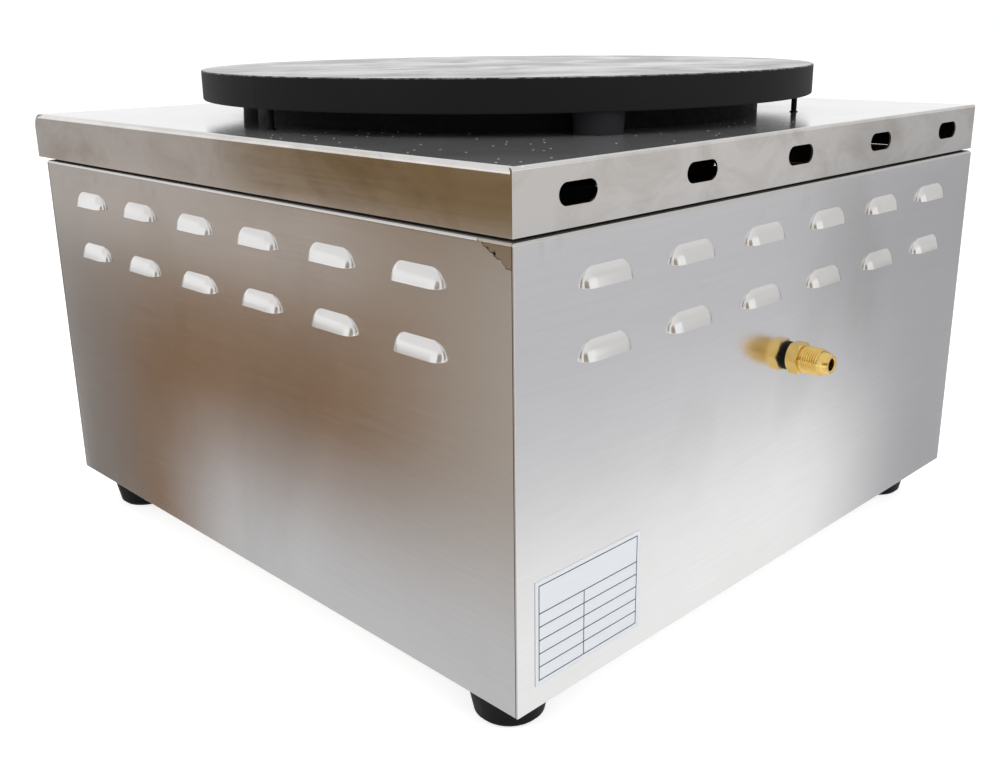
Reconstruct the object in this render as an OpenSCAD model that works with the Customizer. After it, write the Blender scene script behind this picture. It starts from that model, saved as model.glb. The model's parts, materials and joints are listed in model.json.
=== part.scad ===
// Countertop gas crepe maker: a folded steel case on rubber feet, a lift-off steel cover,
// a lift-off cast griddle plate, and a gas valve, burner and spark igniter inside.
// Millimetres. +Z is up, the front with the knob faces -Y, the gas inlet is at the rear.
// The origin is on the floor under the middle of the case.

/* [Case] */
// Width of the case, left to right
case_w = 450; // [420:1:500]
// Depth of the case, front to back
case_d = 454; // [430:1:520]
// Height of the case walls
case_h = 228; // [215:1:260]
// Thickness of the case and cover sheet
sheet_t = 1.2; // [0.8:0.1:2]
// Outside radius of the bend along the top of each wall
wall_bend_r = 2; // [2:0.5:6]
// Width of the flange turned in along the top of each wall
flange_w = 18; // [15:1:30]
// Height of the rim turned up around the base pan
pan_rim_h = 16; // [8:1:40]

/* [Air slots in the base pan] */
// Number of slots
pan_slot_count = 7; // [1:1:9]
// Spacing of the slots, front to back
pan_slot_pitch = 28; // [14:1:40]
// Length of a slot
pan_slot_len = 120; // [40:1:160]
// Width of a slot
pan_slot_w = 8; // [4:0.5:12]

/* [Louvres] */
// Number of louvres in a row
louvre_count = 6; // [2:1:6]
// Spacing of the louvres along a wall
louvre_pitch = 66; // [45:1:70]
// Length of a louvre, tip to tip
louvre_len = 34.5; // [28:0.5:44]
// Length of a louvre's sloping end
louvre_end = 7; // [6:0.5:9]
// Height of a louvre above its lip
louvre_h = 8; // [6:0.5:12]
// How far a louvre stands out of the wall
louvre_out = 4.5; // [3:0.5:6]
// Thickness of the louvre hood
louvre_t = 1; // [0.6:0.1:1.4]
// Drop of the upper row's lip below the top of the wall
louvre_drop = 26.5; // [20:0.5:40]
// Spacing of the two rows
louvre_row_pitch = 34.3; // [20:0.1:45]

/* [Feet] */
// Height of a foot
foot_h = 24; // [15:1:40]
// Diameter of a foot at the top
foot_top_d = 46; // [34:1:50]
// Diameter of a foot at the floor
foot_bottom_d = 37; // [24:1:46]
// Chamfer around the foot at the floor
foot_chamfer = 2; // [0.5:0.5:3]
// Distance of a foot's centre from the side of the case
foot_side_inset = 29; // [27:0.5:60]
// Distance of a foot's centre from the front or rear of the case
foot_end_inset = 34.5; // [27:0.5:60]
// Diameter of the foot screw
foot_screw_d = 5; // [4:0.5:6]
// Depth of the recess for the screw head
foot_recess = 12; // [6:0.5:13]

/* [Top cover] */
// Height of the cover's skirt
cover_skirt = 29.5; // [22:0.5:45]
// Gap between the walls and the skirt
cover_gap = 1.5; // [1:0.5:5]
// How far the cover overhangs the front wall
cover_front_over = 12.5; // [0:0.5:20]
// How far the cover stays back from the rear wall
cover_rear_inset = 0.5; // [0:0.5:5]
// Outside radius of the bends along the cover's sides
cover_bend_r = 3; // [2.5:0.5:6]
// Inside radius of the bend along the cover's front
cover_front_bend = 8.5; // [0.5:0.5:10]
// Inside radius of the bend along the cover's rear
cover_rear_bend = 0.6; // [0.3:0.1:3]
// Width of the hem turned in under the skirt
hem_w = 14; // [13:0.5:20]
// Number of vent slots in the rear skirt
vent_count = 5; // [1:1:5]
// Spacing of the vent slots
vent_pitch = 92; // [40:1:95]
// Length of a vent slot
vent_len = 25.5; // [14:0.5:38]
// Height of a vent slot
vent_h = 10.5; // [5:0.5:13]
// Drop of the vent slots' middle below the cover's top
vent_drop = 14.5; // [12:0.5:16]

/* [Cover buffers] */
// Diameter of a buffer's pad
buffer_d = 9; // [7:0.5:11]
// Distance of a buffer from the side of the case
buffer_inset = 8; // [7.5:0.5:9]
// Distance of a buffer from the front or rear of the case
buffer_end = 40; // [30:1:100]
// Diameter of a buffer's stem and nib
buffer_stem_d = 5; // [3:0.5:6]
// Height of the nib that locates the cover
buffer_nib = 4; // [2:0.5:6]

/* [Griddle plate] */
// Diameter of the plate
plate_d = 400; // [350:1:420]
// Thickness of the plate
plate_t = 18; // [12:0.5:25]
// Radius of the plate's edges
plate_edge_r = 0.8; // [0.4:0.1:4]
// Gap between the cover and the plate, the height of the legs
plate_gap = 12; // [8:0.5:30]
// Distance of a leg's centre from the plate's edge
leg_inset = 16; // [15:0.5:25]
// Diameter of a leg at the plate
leg_top_d = 28; // [20:0.5:28.5]
// Diameter of a leg at the cover
leg_bottom_d = 26.5; // [12:0.5:27]

/* [Collar and locating pins] */
// Gap between the legs and the collar
collar_leg_gap = 3.5; // [1:0.5:10]
// Thickness of the collar
collar_t = 1.5; // [1:0.1:3]
// Gap between the collar and the plate
collar_top_gap = 1.5; // [0.5:0.5:4]
// Width of the collar's foot on the cover
collar_foot_w = 7; // [4:0.5:12]
// Diameter of a locating pin
pin_d = 3.5; // [3:0.5:6]
// Distance of a pin from the plate's edge
pin_inset = 10.5; // [10:0.5:20]
// How far a pin enters the plate
pin_enter = 4; // [2:0.5:8]
// Clearance around a pin in the plate
pin_clear = 0.75; // [0.3:0.05:2]

/* [Gas inlet] */
// Height of the gas line above the base of the case
gas_line_h = 130; // [115:1:140]
// Distance of the inlet from the middle of the rear wall
inlet_x = 0; // [-20:1:20]
// How far the inlet stands out of the rear wall
inlet_reach = 27.5; // [25:0.5:40]
// Outside diameter of the inlet thread
inlet_thread_d = 16; // [13:0.5:18]
// Diameter of the inlet bore
inlet_bore_d = 7; // [4:0.5:9]
// Diameter of the inlet nose
inlet_nose_d = 10; // [9.5:0.5:12]
// Length of the cone on the inlet nose
inlet_nose_len = 5.5; // [2:0.5:7]
// Diameter of the inlet where it passes the wall
inlet_neck_d = 14; // [13:0.5:15]
// Size across the flats of the inlet's own hexagon
inlet_hex_af = 17; // [16.5:0.5:24]
// Thickness of the inlet's own hexagon
inlet_hex_t = 7.5; // [5:0.5:10]
// Thickness of the seal behind the inlet
washer_t = 2.5; // [1:0.5:4]
// Outside diameter of the seal behind the inlet
washer_d = 16.5; // [16.5:0.5:24]
// Thickness of the lock nuts on the inlet and the valve
lock_nut_t = 5; // [3:0.5:8]

/* [Gas pipe] */
// Outside diameter of the pipe
pipe_d = 10; // [8:0.5:11]
// Wall of the pipe
pipe_wall = 1; // [0.5:0.1:2]
// Bend radius of the pipe
pipe_bend_r = 30; // [15:1:40]
// Distance of the pipe's long run from the middle of the case
pipe_run_x = 165; // [140:1:185]
// Distance of the pipe's rear run from the rear wall
pipe_rear_gap = 77; // [70:1:100]
// Size across the flats of the pipe nuts
pipe_nut_af = 19; // [18:1:24]
// Length of a pipe nut
pipe_nut_len = 16; // [12:0.5:24]
// Diameter of the threaded ends that the pipe nuts screw on
pipe_thread_d = 13; // [12:0.5:14]
// Length of the threaded ends that the pipe nuts screw on
pipe_thread_len = 12; // [10:0.5:16]

/* [Valve] */
// Diameter of the valve body
valve_d = 30; // [28:0.5:36]
// Length of the valve body
valve_len = 42; // [40:1:60]
// Thickness of the valve's front wall
valve_wall = 4; // [3:0.5:8]
// Diameter of the chamber that holds the spring
valve_chamber_d = 20; // [17:0.5:24]
// Length of the chamber that holds the spring
valve_chamber_len = 24; // [20:0.5:30]
// Diameter of the threaded neck that passes the front wall
valve_neck_d = 16; // [14:0.5:18]
// Size across the flats of the nut on that neck
valve_nut_af = 22; // [20:1:24]
// Diameter of the gas ways in the valve
valve_way_d = 6; // [3:0.5:8]
// Diameter of the spindle
spindle_d = 8; // [6:0.5:9]
// Diameter of the spindle's shoulder
shoulder_d = 12; // [10:0.5:14]
// Thickness of the shoulder and of the spring seat
shoulder_t = 2; // [1:0.5:3]
// Outside diameter of the valve spring
valve_spring_d = 15; // [13:0.5:15.5]
// Wire diameter of the valve spring
valve_wire_d = 1.4; // [0.8:0.1:1.8]

/* [Knob] */
// How far the knob's face stands out of the front wall
knob_reach = 31; // [24:0.5:38]
// Gap between the knob and the dial, room for the push
knob_gap = 4; // [3.5:0.5:6]
// Diameter of the knob's skirt
knob_d = 44; // [40:1:60]
// Length of the knob's skirt
knob_skirt = 9; // [7.5:0.5:11]
// Width of the knob's grip
knob_grip_w = 13; // [11:0.5:18]
// Depth of the recess behind the knob
knob_recess = 6; // [5:0.5:6.5]
// Diameter of the dial plate
dial_d = 74; // [64:1:100]
// Thickness of the dial plate
dial_t = 1; // [0.5:0.1:1.5]
// Width of the pointer inlaid in the grip
pointer_w = 2.4; // [1:0.1:4]
// Depth of the pointer inlaid in the grip
pointer_t = 0.8; // [0.4:0.1:1.5]

/* [Injector and mixing tube] */
// Length of the valve's outlet nose
outlet_len = 8; // [5:0.5:12]
// Diameter of the valve's outlet nose
outlet_d = 14; // [10:0.5:16]
// Size across the flats of the injector
injector_af = 17; // [14:1:22]
// Thickness of the injector's hexagon
injector_hex_t = 8; // [5:0.5:12]
// Diameter of the injector's nozzle
nozzle_d = 9; // [7:0.5:12]
// Length of the injector's nozzle
nozzle_len = 12; // [9:0.5:16]
// Diameter of the jet
jet_d = 1.5; // [0.6:0.1:2]
// Outside diameter of the mixing tube
mix_d = 34; // [28:0.5:40]
// Wall of the mixing tube
mix_wall = 3; // [1.5:0.5:4]
// Bend radius of the mixing tube
mix_bend_r = 45; // [35:1:50]
// Length of the air shutter
shutter_len = 22; // [18:0.5:30]
// Wall of the air shutter
shutter_t = 1.5; // [1:0.1:3]
// Length of an air window
window_len = 14; // [8:0.5:16]
// Width of an air window
window_w = 12; // [6:0.5:16]

/* [Burner] */
// Height of the burner's seat above the gas line
burner_rise = 66; // [58:1:70]
// Radius of the burner
burner_r = 92; // [80:1:94]
// Wall of the burner casting
burner_wall = 4; // [3:0.5:6]
// Height of the burner bowl
burner_bowl_h = 18; // [14:0.5:22]
// Thickness of the burner cap
burner_cap_t = 6; // [4:0.5:8]
// Number of ports in the outer row
port_count = 36; // [12:2:48]
// Diameter of a port
port_d = 3; // [1.5:0.1:4]
// Radius of the inner row of ports
port_inner_r = 48; // [36:1:60]
// How far the tube stands up into the burner
socket_h = 6; // [4:0.5:10]
// Distance of the burner screws from the burner's middle
ear_x = 108; // [104:1:112]
// Width of the burner's ears
ear_w = 22; // [18:1:40]
// Diameter of the burner and post screws
bolt_d = 6; // [4:0.5:8]

/* [Burner support] */
// Distance of the posts from the middle of the case
post_x = 122; // [118:1:130]
// Width of the posts and the strap
post_w = 60; // [50:1:90]
// Thickness of the posts and the strap
post_t = 3; // [2:0.5:5]
// Length of the flanges on the posts
post_flange = 26; // [24:1:30]
// Spacing of the screws in a post's foot
post_screw_pitch = 36; // [25:1:40]
// Diameter of the heat shield
shield_d = 300; // [260:1:360]
// Thickness of the heat shield
shield_t = 0.8; // [0.5:0.1:2]

/* [Igniter] */
// Distance of the igniter from the knob, along the front wall
igniter_x = 90; // [70:1:100]
// Diameter of the igniter's barrel
igniter_d = 18; // [17.5:0.5:22]
// Length of the igniter behind the front wall
igniter_len = 54; // [40:1:60]
// Diameter of the igniter's bezel
igniter_bezel_d = 24; // [23:0.5:34]
// Thickness of the igniter's bezel
igniter_bezel_t = 2; // [1:0.5:4]
// Diameter of the igniter's button
button_d = 12; // [8:0.5:13]
// How far the button stands out of its bezel
button_out = 8; // [7:0.5:12]
// Length of the bore that guides the button
button_guide = 6; // [4:0.5:10]
// Diameter of the chamber behind the button
igniter_chamber_d = 15; // [14.5:0.5:15.5]
// Length of the chamber behind the button
igniter_chamber_len = 26; // [20:0.5:32]
// Wire diameter of the igniter spring
igniter_wire_d = 1; // [0.6:0.1:1.2]
// Diameter of the ignition lead
lead_d = 4; // [2:0.5:6]
// Bend radius of the ignition lead
lead_bend_r = 20; // [12:1:25]
// Distance of the electrode in front of the burner's middle
electrode_y = 75; // [65:1:85]
// Diameter of the electrode's insulator
insulator_d = 8; // [6:0.5:10]
// Length of the insulator below the heat shield
insulator_drop = 12; // [8:1:20]
// Diameter of the electrode wire
wire_d = 2; // [1:0.1:3]

/* [Rating plate] */
// Width of the plate on the rear wall
label_w = 78; // [40:1:100]
// Height of the plate on the rear wall
label_h = 55; // [25:1:70]
// Distance of the plate from the wall's edges
label_gap = 12; // [5:1:25]
// Thickness of the plate
label_t = 0.3; // [0.2:0.1:1]

/* [Fits] */
// Gap between fitted pieces that stay together
slip = 0.15; // [0.05:0.05:0.2]
// Gap around a shaft that slides or turns in its bore
run_fit = 0.05; // [0.03:0.01:0.08]
// Gap between pieces that move apart
free_gap = 0.3; // [0.2:0.05:0.5]
// Gap under a leg of the plate, which rests on the cover by its weight
rest_gap = 0.1; // [0.05:0.05:0.3]

/* [Hidden] */
$fn = 64;

// How far a cut runs past the face it opens, and a joined shape into its neighbour
cut = 1;

// Colours
steel = "#c9c7c4";
dark_steel = "#8b8985";
cast_iron = "#3a3836";
brass = "#d3a33c";
black = "#1c1c1d";
white = "#f2f2ef";
copper = "#b9744a";
button_red = "#a8261f";
sleeve_red = "#7a2a22";

// Nuts and screw heads, as shares of the thread they go with
nut_af_share = 1.65;
nut_t_share = 0.8;
head_d_share = 1.9;
head_t_share = 0.65;
head_face_share = 0.8;
// Length of thread that shows past a nut
thread_end = 1.5;

// Heights
case_z = foot_h;
wall_top_z = case_z + case_h;
pan_top_z = case_z + sheet_t;
cover_z = wall_top_z + cover_gap;
cover_top_z = cover_z + cover_skirt;
plate_z = cover_top_z + plate_gap;
gas_z = case_z + gas_line_h;
seat_z = gas_z + burner_rise;
burner_z = seat_z + shield_t;
cap_z = burner_z + burner_bowl_h;

// Faces of the front and rear walls
front_y = -case_d / 2;
front_in_y = front_y + sheet_t;
rear_y = case_d / 2;
rear_in_y = rear_y - sheet_t;

// Cover
cover_w = case_w;
cover_d = case_d + cover_front_over - cover_rear_inset;
cover_y = rear_y - cover_rear_inset - cover_d / 2;
cover_front_r = cover_front_bend + sheet_t;
cover_rear_r = cover_rear_bend + sheet_t;
buffer_x = case_w / 2 - buffer_inset;
buffer_y = case_d / 2 - buffer_end;
buffer_tail = 2;

// Plate, collar and pins, with one pin between each pair of legs
leg_count = 3;
leg_circle_r = plate_d / 2 - leg_inset;
collar_r = leg_circle_r - leg_top_d / 2 - collar_leg_gap;
opening_r = collar_r - collar_foot_w;
pin_circle_r = plate_d / 2 - pin_inset;
pin_shoulder_t = 0.5;
pin_shoulder_rim = 0.75;
pin_shoulder_d = pin_d + 2 * pin_shoulder_rim;
pin_nut_af = pin_d * nut_af_share;
pin_nut_t = pin_d * nut_t_share;
pin_tip = 1;

// Louvre hood: a sloping face between two cones, whose axes lie behind the wall's face
louvre_r = (louvre_out * louvre_out + louvre_end * louvre_end) / (2 * louvre_out);
louvre_sink = louvre_r - louvre_out;
louvre_axis_len = louvre_len - 2 * louvre_end;
louvre_slope = louvre_out / louvre_h;

// Feet
foot_x = case_w / 2 - foot_side_inset;
foot_y = case_d / 2 - foot_end_inset;
foot_head_d = foot_screw_d * head_d_share;
foot_head_t = foot_screw_d * head_t_share;
foot_head_clear = 1.5;
foot_recess_d = foot_head_d + 2 * foot_head_clear;
foot_nut_af = foot_screw_d * nut_af_share;
foot_nut_t = foot_screw_d * nut_t_share;

// Gas inlet, from the wall outwards and inwards
inlet_hex_y = rear_y + washer_t;
inlet_tip_y = rear_y + inlet_reach;
inlet_nut_y = rear_in_y - lock_nut_t;
inlet_nut_wall = 2.5;
inlet_nut_af = inlet_neck_d + 2 * inlet_nut_wall;
inlet_end_y = inlet_nut_y - thread_end - pipe_thread_len;

// Length of thread that a pipe nut leaves bare
pipe_thread_bare = 2;

// Valve and its chamber, from the front wall inwards
valve_end_y = front_in_y + valve_len;
chamber_y = front_in_y + valve_wall;
chamber_end_y = chamber_y + valve_chamber_len;
neck_end_y = front_y - dial_t - lock_nut_t - slip;
valve_port_y = front_in_y + valve_len / 2;
valve_port_x = valve_d / 2 + pipe_thread_len;
shoulder_y = chamber_y + free_gap;
seat_y = shoulder_y + shoulder_t + slip;
valve_spring_y = seat_y + shoulder_t;
spindle_tail = 6;

// Knob
knob_face_y = front_y - knob_reach;
knob_back_y = front_y - dial_t - knob_gap;
knob_bore_wall = 4;
knob_taper = 2;
knob_nut_clear = 2;
knob_recess_d = valve_nut_af / cos(30) + 2 * knob_nut_clear;
spindle_tip_y = knob_face_y + knob_bore_wall;
spindle_flat_share = 0.3;
spindle_flat = spindle_d * spindle_flat_share;
knob_grip_inset = 1.5;
knob_grip_l = knob_d - 2 * knob_grip_inset;
pointer_share = 0.4;
pointer_l = knob_grip_l * pointer_share;

// Injector and mixing tube, from the valve to the burner
outlet_end_y = valve_end_y + outlet_len;
nozzle_y = outlet_end_y + injector_hex_t;
mix_y = nozzle_y + nozzle_len / 2 - mix_wall;
mix_top_z = burner_z + socket_h;
shutter_gap = 1;
shutter_y = mix_y + mix_wall + shutter_gap;
shutter_tab_h = 8;
shutter_tab_w = 11;
window_count = 4;

// Burner
socket_r = mix_d / 2 + slip;
socket_wall = 5;
burner_in_r = burner_r - burner_wall;
ear_t = 6;
ear_end = ear_w / 2;
ear_root_r = burner_r - burner_wall / 2;
bolt_head_d = bolt_d * head_d_share;
bolt_head_t = bolt_d * head_t_share;
bolt_nut_af = bolt_d * nut_af_share;
bolt_nut_t = bolt_d * nut_t_share;
bolt_hole_d = bolt_d + 2 * slip;
cap_step = 3;
cap_slope = 6;
cap_flat_r = burner_in_r - cap_slope;
port_outer_r = cap_flat_r - port_d;

// Posts
post_screw_x = post_x + post_flange / 2;

// Igniter, from the front wall inwards
igniter_end_y = front_y + igniter_len;
bezel_y = front_y - igniter_bezel_t;
igniter_chamber_y = bezel_y + button_guide;
igniter_chamber_end_y = igniter_chamber_y + igniter_chamber_len;
button_collar_t = 2;
button_collar_y = igniter_chamber_y + free_gap;
button_collar_d = igniter_chamber_d - 2 * free_gap;
button_edge_r = 2;
igniter_spring_y = button_collar_y + button_collar_t;
igniter_spring_clear = 1;
igniter_spring_d = igniter_chamber_d - 2 * igniter_spring_clear;
igniter_nut_wall = 3;
igniter_nut_af = igniter_d + 2 * igniter_nut_wall;

// Electrode beside the burner
insulator_z = seat_z - insulator_drop;
insulator_top_z = cap_z + burner_cap_t / 2;
insulator_flange_w = 3;
insulator_flange_d = insulator_d + 2 * insulator_flange_w;
insulator_flange_t = 3;
clip_t = 0.8;
spark_gap = 4;
wire_bend_r = 3;
wire_rise = 7;
electrode_r = norm([igniter_x, electrode_y]);
wire_reach = electrode_r - burner_r - spark_gap;

// Springs
coil_sides = 8;
coil_steps = 16;
valve_spring_turns = 6;
igniter_spring_turns = 7;

// Shared shapes

module along_y(x, y, z) {
    translate([x, y, z])
        rotate([-90, 0, 0])
            children();
}

module at_corners(dx, dy, z) {
    for (sx = [-1, 1], sy = [-1, 1])
        translate([sx * dx, sy * dy, z])
            children();
}

module around(count, radius, first, z) {
    for (i = [0 : count - 1])
        rotate(first + i * 360 / count)
            translate([radius, 0, z])
                children();
}

module hex_bar(af, h) {
    cylinder(d = af / cos(30), h = h, $fn = 6);
}

module hex_nut(af, h, bore) {
    difference() {
        hex_bar(af, h);
        translate([0, 0, -cut])
            cylinder(d = bore, h = h + 2 * cut);
    }
}

module tube(od, id, h) {
    difference() {
        cylinder(d = od, h = h);
        translate([0, 0, -cut])
            cylinder(d = id, h = h + 2 * cut);
    }
}

module obround(length, width) {
    square([length - width, width], center = true);
    for (s = [-1, 1])
        translate([s * (length - width) / 2, 0])
            circle(d = width);
}

module pan_screw(d, head_d, head_t, length) {
    cylinder(d = d, h = length);
    translate([0, 0, -head_t])
        cylinder(d1 = head_d * head_face_share, d2 = head_d, h = head_t);
}

module ring_2d(od, id) {
    difference() {
        circle(d = od);
        if (id > 0)
            circle(d = id);
    }
}

// Rod or tube along a flat route of points that turns by right angles
module bent_bar(route, bend_r, od, id = 0) {
    last = len(route) - 2;
    for (i = [0 : last]) {
        step = route[i + 1] - route[i];
        way = step / norm(step);
        from = route[i] + (i > 0 ? bend_r : 0) * way;
        to = route[i + 1] - (i < last ? bend_r : 0) * way;
        translate([from[0], from[1], 0])
            rotate([0, 0, atan2(way[1], way[0])])
                rotate([0, 90, 0])
                    linear_extrude(norm(to - from))
                        ring_2d(od, id);
    }
    for (i = [1 : 1 : last]) {
        way_in = (route[i] - route[i - 1]) / norm(route[i] - route[i - 1]);
        way_out = (route[i + 1] - route[i]) / norm(route[i + 1] - route[i]);
        middle = route[i] + bend_r * (way_out - way_in);
        left = way_in[0] * way_out[1] - way_in[1] * way_out[0] > 0;
        first = left ? -way_out : way_in;
        translate([middle[0], middle[1], 0])
            rotate([0, 0, atan2(first[1], first[0])])
                rotate_extrude(angle = 90)
                    translate([bend_r, 0])
                        ring_2d(od, id);
    }
}

// Coil spring along +Z that fills the given length
module coil(od, wire, length, turns) {
    mean_r = (od - wire) / 2;
    rings = turns * coil_steps;
    rise = length - wire;
    points = [
        for (i = [0 : rings], k = [0 : coil_sides - 1])
            let (
                a = 360 * i / coil_steps,
                b = 360 * k / coil_sides,
                r = mean_r + wire / 2 * cos(b)
            )
            [r * cos(a), r * sin(a), wire / 2 + rise * i / rings + wire / 2 * sin(b)]
    ];
    sides = [
        for (i = [0 : rings - 1], k = [0 : coil_sides - 1])
            let (
                n = (k + 1) % coil_sides,
                low = i * coil_sides,
                high = low + coil_sides
            )
            [low + k, high + k, high + n, low + n]
    ];
    start_cap = [[for (k = [0 : coil_sides - 1]) k]];
    end_cap = [[for (k = [coil_sides - 1 : -1 : 0]) rings * coil_sides + k]];
    polyhedron(points, concat(start_cap, sides, end_cap));
}

// Case walls

module quarter_bend(outer_r) {
    intersection() {
        ring_2d(2 * outer_r, 2 * (outer_r - sheet_t));
        square(outer_r);
    }
}

// Cross-section of a wall: outer face at x = 0, inside towards -x
module wall_section() {
    translate([-sheet_t, 0])
        square([sheet_t, case_h - wall_bend_r]);
    translate([-wall_bend_r, case_h - wall_bend_r])
        quarter_bend(wall_bend_r);
    translate([-flange_w, case_h - sheet_t])
        square([flange_w - wall_bend_r, sheet_t]);
}

// Cuts the ends of the top flange to a mitre
module flange_mitre(width) {
    reach = flange_w + cut;
    for (s = [0, 1])
        mirror([s, 0, 0])
            translate([width / 2, 0, case_h - wall_bend_r])
                linear_extrude(wall_bend_r + cut)
                    polygon([[0, 0], [cut, 0], [cut, -reach], [-reach, -reach]]);
}

// Trims a side wall to fit between the front and rear walls
module butt_ends(width) {
    for (s = [0, 1])
        mirror([s, 0, 0])
            translate([width / 2 - sheet_t, -sheet_t - cut, -cut])
                cube([sheet_t + cut, sheet_t + 2 * cut, case_h - wall_bend_r + cut]);
}

// The part of a louvre's shape in front of a depth behind the wall's face,
// from a level below the lip up to where the hood runs out into the wall
module hood(lip_r, below, back) {
    height = below + louvre_h;
    profile = [
        [0, 0],
        [lip_r + below * louvre_slope, 0],
        [lip_r - louvre_out, height],
        [0, height]
    ];
    intersection() {
        translate([0, -louvre_sink, -below]) {
            rotate([90, 0, 90])
                linear_extrude(louvre_axis_len, center = true)
                    polygon(profile);
            for (s = [0, 1])
                mirror([s, 0, 0])
                    translate([louvre_axis_len / 2, 0, 0])
                        rotate_extrude(angle = 90)
                            polygon(profile);
        }
        translate([-louvre_len, -back, -below])
            cube([2 * louvre_len, back + 2 * louvre_out, height]);
    }
}

module at_louvres() {
    for (row = [0, 1], i = [0 : louvre_count - 1])
        translate([
            (i - (louvre_count - 1) / 2) * louvre_pitch,
            0,
            case_h - louvre_drop - row * louvre_row_pitch
        ])
            children();
}

// Wall standing in the XZ plane, its outer face at y = 0 towards +Y
module wall(width, louvred, butted) {
    difference() {
        union() {
            rotate([90, 0, 90])
                linear_extrude(width, center = true)
                    wall_section();
            if (louvred)
                at_louvres()
                    hood(louvre_r, 0, sheet_t / 2);
        }
        flange_mitre(width);
        if (butted)
            butt_ends(width);
        if (louvred)
            at_louvres()
                hood(louvre_r - louvre_t, louvre_t / 2, sheet_t + cut);
    }
}

module side_panel() {
    difference() {
        translate([case_w / 2, 0, case_z])
            rotate(-90)
                wall(case_d, louvred = true, butted = true);
        for (s = [-1, 1])
            translate([buffer_x, s * buffer_y, wall_top_z - sheet_t - cut])
                cylinder(d = buffer_stem_d + 2 * slip, h = sheet_t + 2 * cut);
    }
}

module right_side_panel() {
    color(steel)
        side_panel();
}

module left_side_panel() {
    color(steel)
        rotate(180)
            side_panel();
}

module rear_panel() {
    color(steel)
        difference() {
            translate([0, rear_y, case_z])
                wall(case_w, louvred = true, butted = false);
            along_y(inlet_x, rear_in_y - cut, gas_z)
                cylinder(d = inlet_neck_d + 2 * slip, h = sheet_t + 2 * cut);
        }
}

module front_panel() {
    color(steel)
        difference() {
            translate([0, front_y, case_z])
                rotate(180)
                    wall(case_w, louvred = false, butted = false);
            along_y(0, front_y - cut, gas_z)
                cylinder(d = valve_neck_d + 2 * slip, h = sheet_t + 2 * cut);
            along_y(igniter_x, front_y - cut, gas_z)
                cylinder(d = igniter_d + 2 * slip, h = sheet_t + 2 * cut);
        }
}

module base_pan() {
    pan_w = case_w - 2 * sheet_t;
    pan_d = case_d - 2 * sheet_t;
    color(dark_steel)
        difference() {
            translate([-pan_w / 2, -pan_d / 2, case_z])
                cube([pan_w, pan_d, pan_rim_h]);
            translate([-pan_w / 2 + sheet_t, -pan_d / 2 + sheet_t, pan_top_z])
                cube([pan_w - 2 * sheet_t, pan_d - 2 * sheet_t, pan_rim_h]);
            for (i = [0 : pan_slot_count - 1])
                translate([0, (i - (pan_slot_count - 1) / 2) * pan_slot_pitch, case_z - cut])
                    linear_extrude(sheet_t + 2 * cut)
                        obround(pan_slot_len, pan_slot_w);
            at_corners(foot_x, foot_y, case_z - cut)
                cylinder(d = foot_screw_d + 2 * slip, h = sheet_t + 2 * cut);
            at_corners(post_screw_x, post_screw_pitch / 2, case_z - cut)
                cylinder(d = bolt_hole_d, h = sheet_t + 2 * cut);
        }
}

// Feet

module rubber_feet() {
    color(black)
        at_corners(foot_x, foot_y, 0)
            difference() {
                rotate_extrude()
                    polygon([
                        [0, 0],
                        [foot_bottom_d / 2 - foot_chamfer, 0],
                        [foot_bottom_d / 2, foot_chamfer],
                        [foot_top_d / 2, foot_h],
                        [0, foot_h]
                    ]);
                translate([0, 0, -cut])
                    cylinder(d = foot_screw_d + 2 * slip, h = foot_h + 2 * cut);
                translate([0, 0, -cut])
                    cylinder(d = foot_recess_d, h = foot_recess + cut);
            }
}

module foot_screws() {
    shank = pan_top_z + foot_nut_t + thread_end - foot_recess;
    color(dark_steel)
        at_corners(foot_x, foot_y, foot_recess)
            pan_screw(foot_screw_d, foot_head_d, foot_head_t, shank);
}

module foot_nuts() {
    color(dark_steel)
        at_corners(foot_x, foot_y, pan_top_z)
            hex_nut(foot_nut_af, foot_nut_t, foot_screw_d + 2 * slip);
}

// Rubber buffers pressed into the side flanges, which carry and locate the cover
module cover_buffers() {
    stem = sheet_t + buffer_tail;
    color(black)
        at_corners(buffer_x, buffer_y, wall_top_z) {
            cylinder(d = buffer_d, h = cover_gap);
            translate([0, 0, -stem])
                cylinder(d = buffer_stem_d, h = stem + cover_gap);
            cylinder(d = buffer_stem_d, h = cover_gap + buffer_nib);
        }
}

module rating_plate() {
    color(white)
        translate([case_w / 2 - label_gap - label_w, rear_y, case_z + label_gap])
            cube([label_w, label_t, label_h]);
}

// Gas inlet and pipe

module inlet_fitting() {
    color(brass)
        along_y(inlet_x, 0, gas_z)
            difference() {
                union() {
                    translate([0, 0, inlet_end_y])
                        cylinder(d = pipe_thread_d, h = pipe_thread_len + thread_end);
                    translate([0, 0, inlet_nut_y - thread_end])
                        cylinder(d = inlet_neck_d, h = inlet_hex_y - inlet_nut_y + thread_end);
                    translate([0, 0, inlet_hex_y])
                        hex_bar(inlet_hex_af, inlet_hex_t);
                    translate([0, 0, inlet_hex_y])
                        cylinder(d = inlet_thread_d, h = inlet_tip_y - inlet_nose_len - inlet_hex_y);
                    translate([0, 0, inlet_tip_y - inlet_nose_len])
                        cylinder(d1 = inlet_thread_d, d2 = inlet_nose_d, h = inlet_nose_len);
                }
                translate([0, 0, inlet_end_y - cut])
                    cylinder(d = inlet_bore_d, h = inlet_tip_y - inlet_end_y + 2 * cut);
            }
}

module inlet_washer() {
    color(black)
        along_y(inlet_x, rear_y, gas_z)
            tube(washer_d, inlet_neck_d + 2 * slip, washer_t);
}

module inlet_lock_nut() {
    color(brass)
        along_y(inlet_x, inlet_nut_y, gas_z)
            hex_nut(inlet_nut_af, lock_nut_t, inlet_neck_d + 2 * slip);
}

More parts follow.
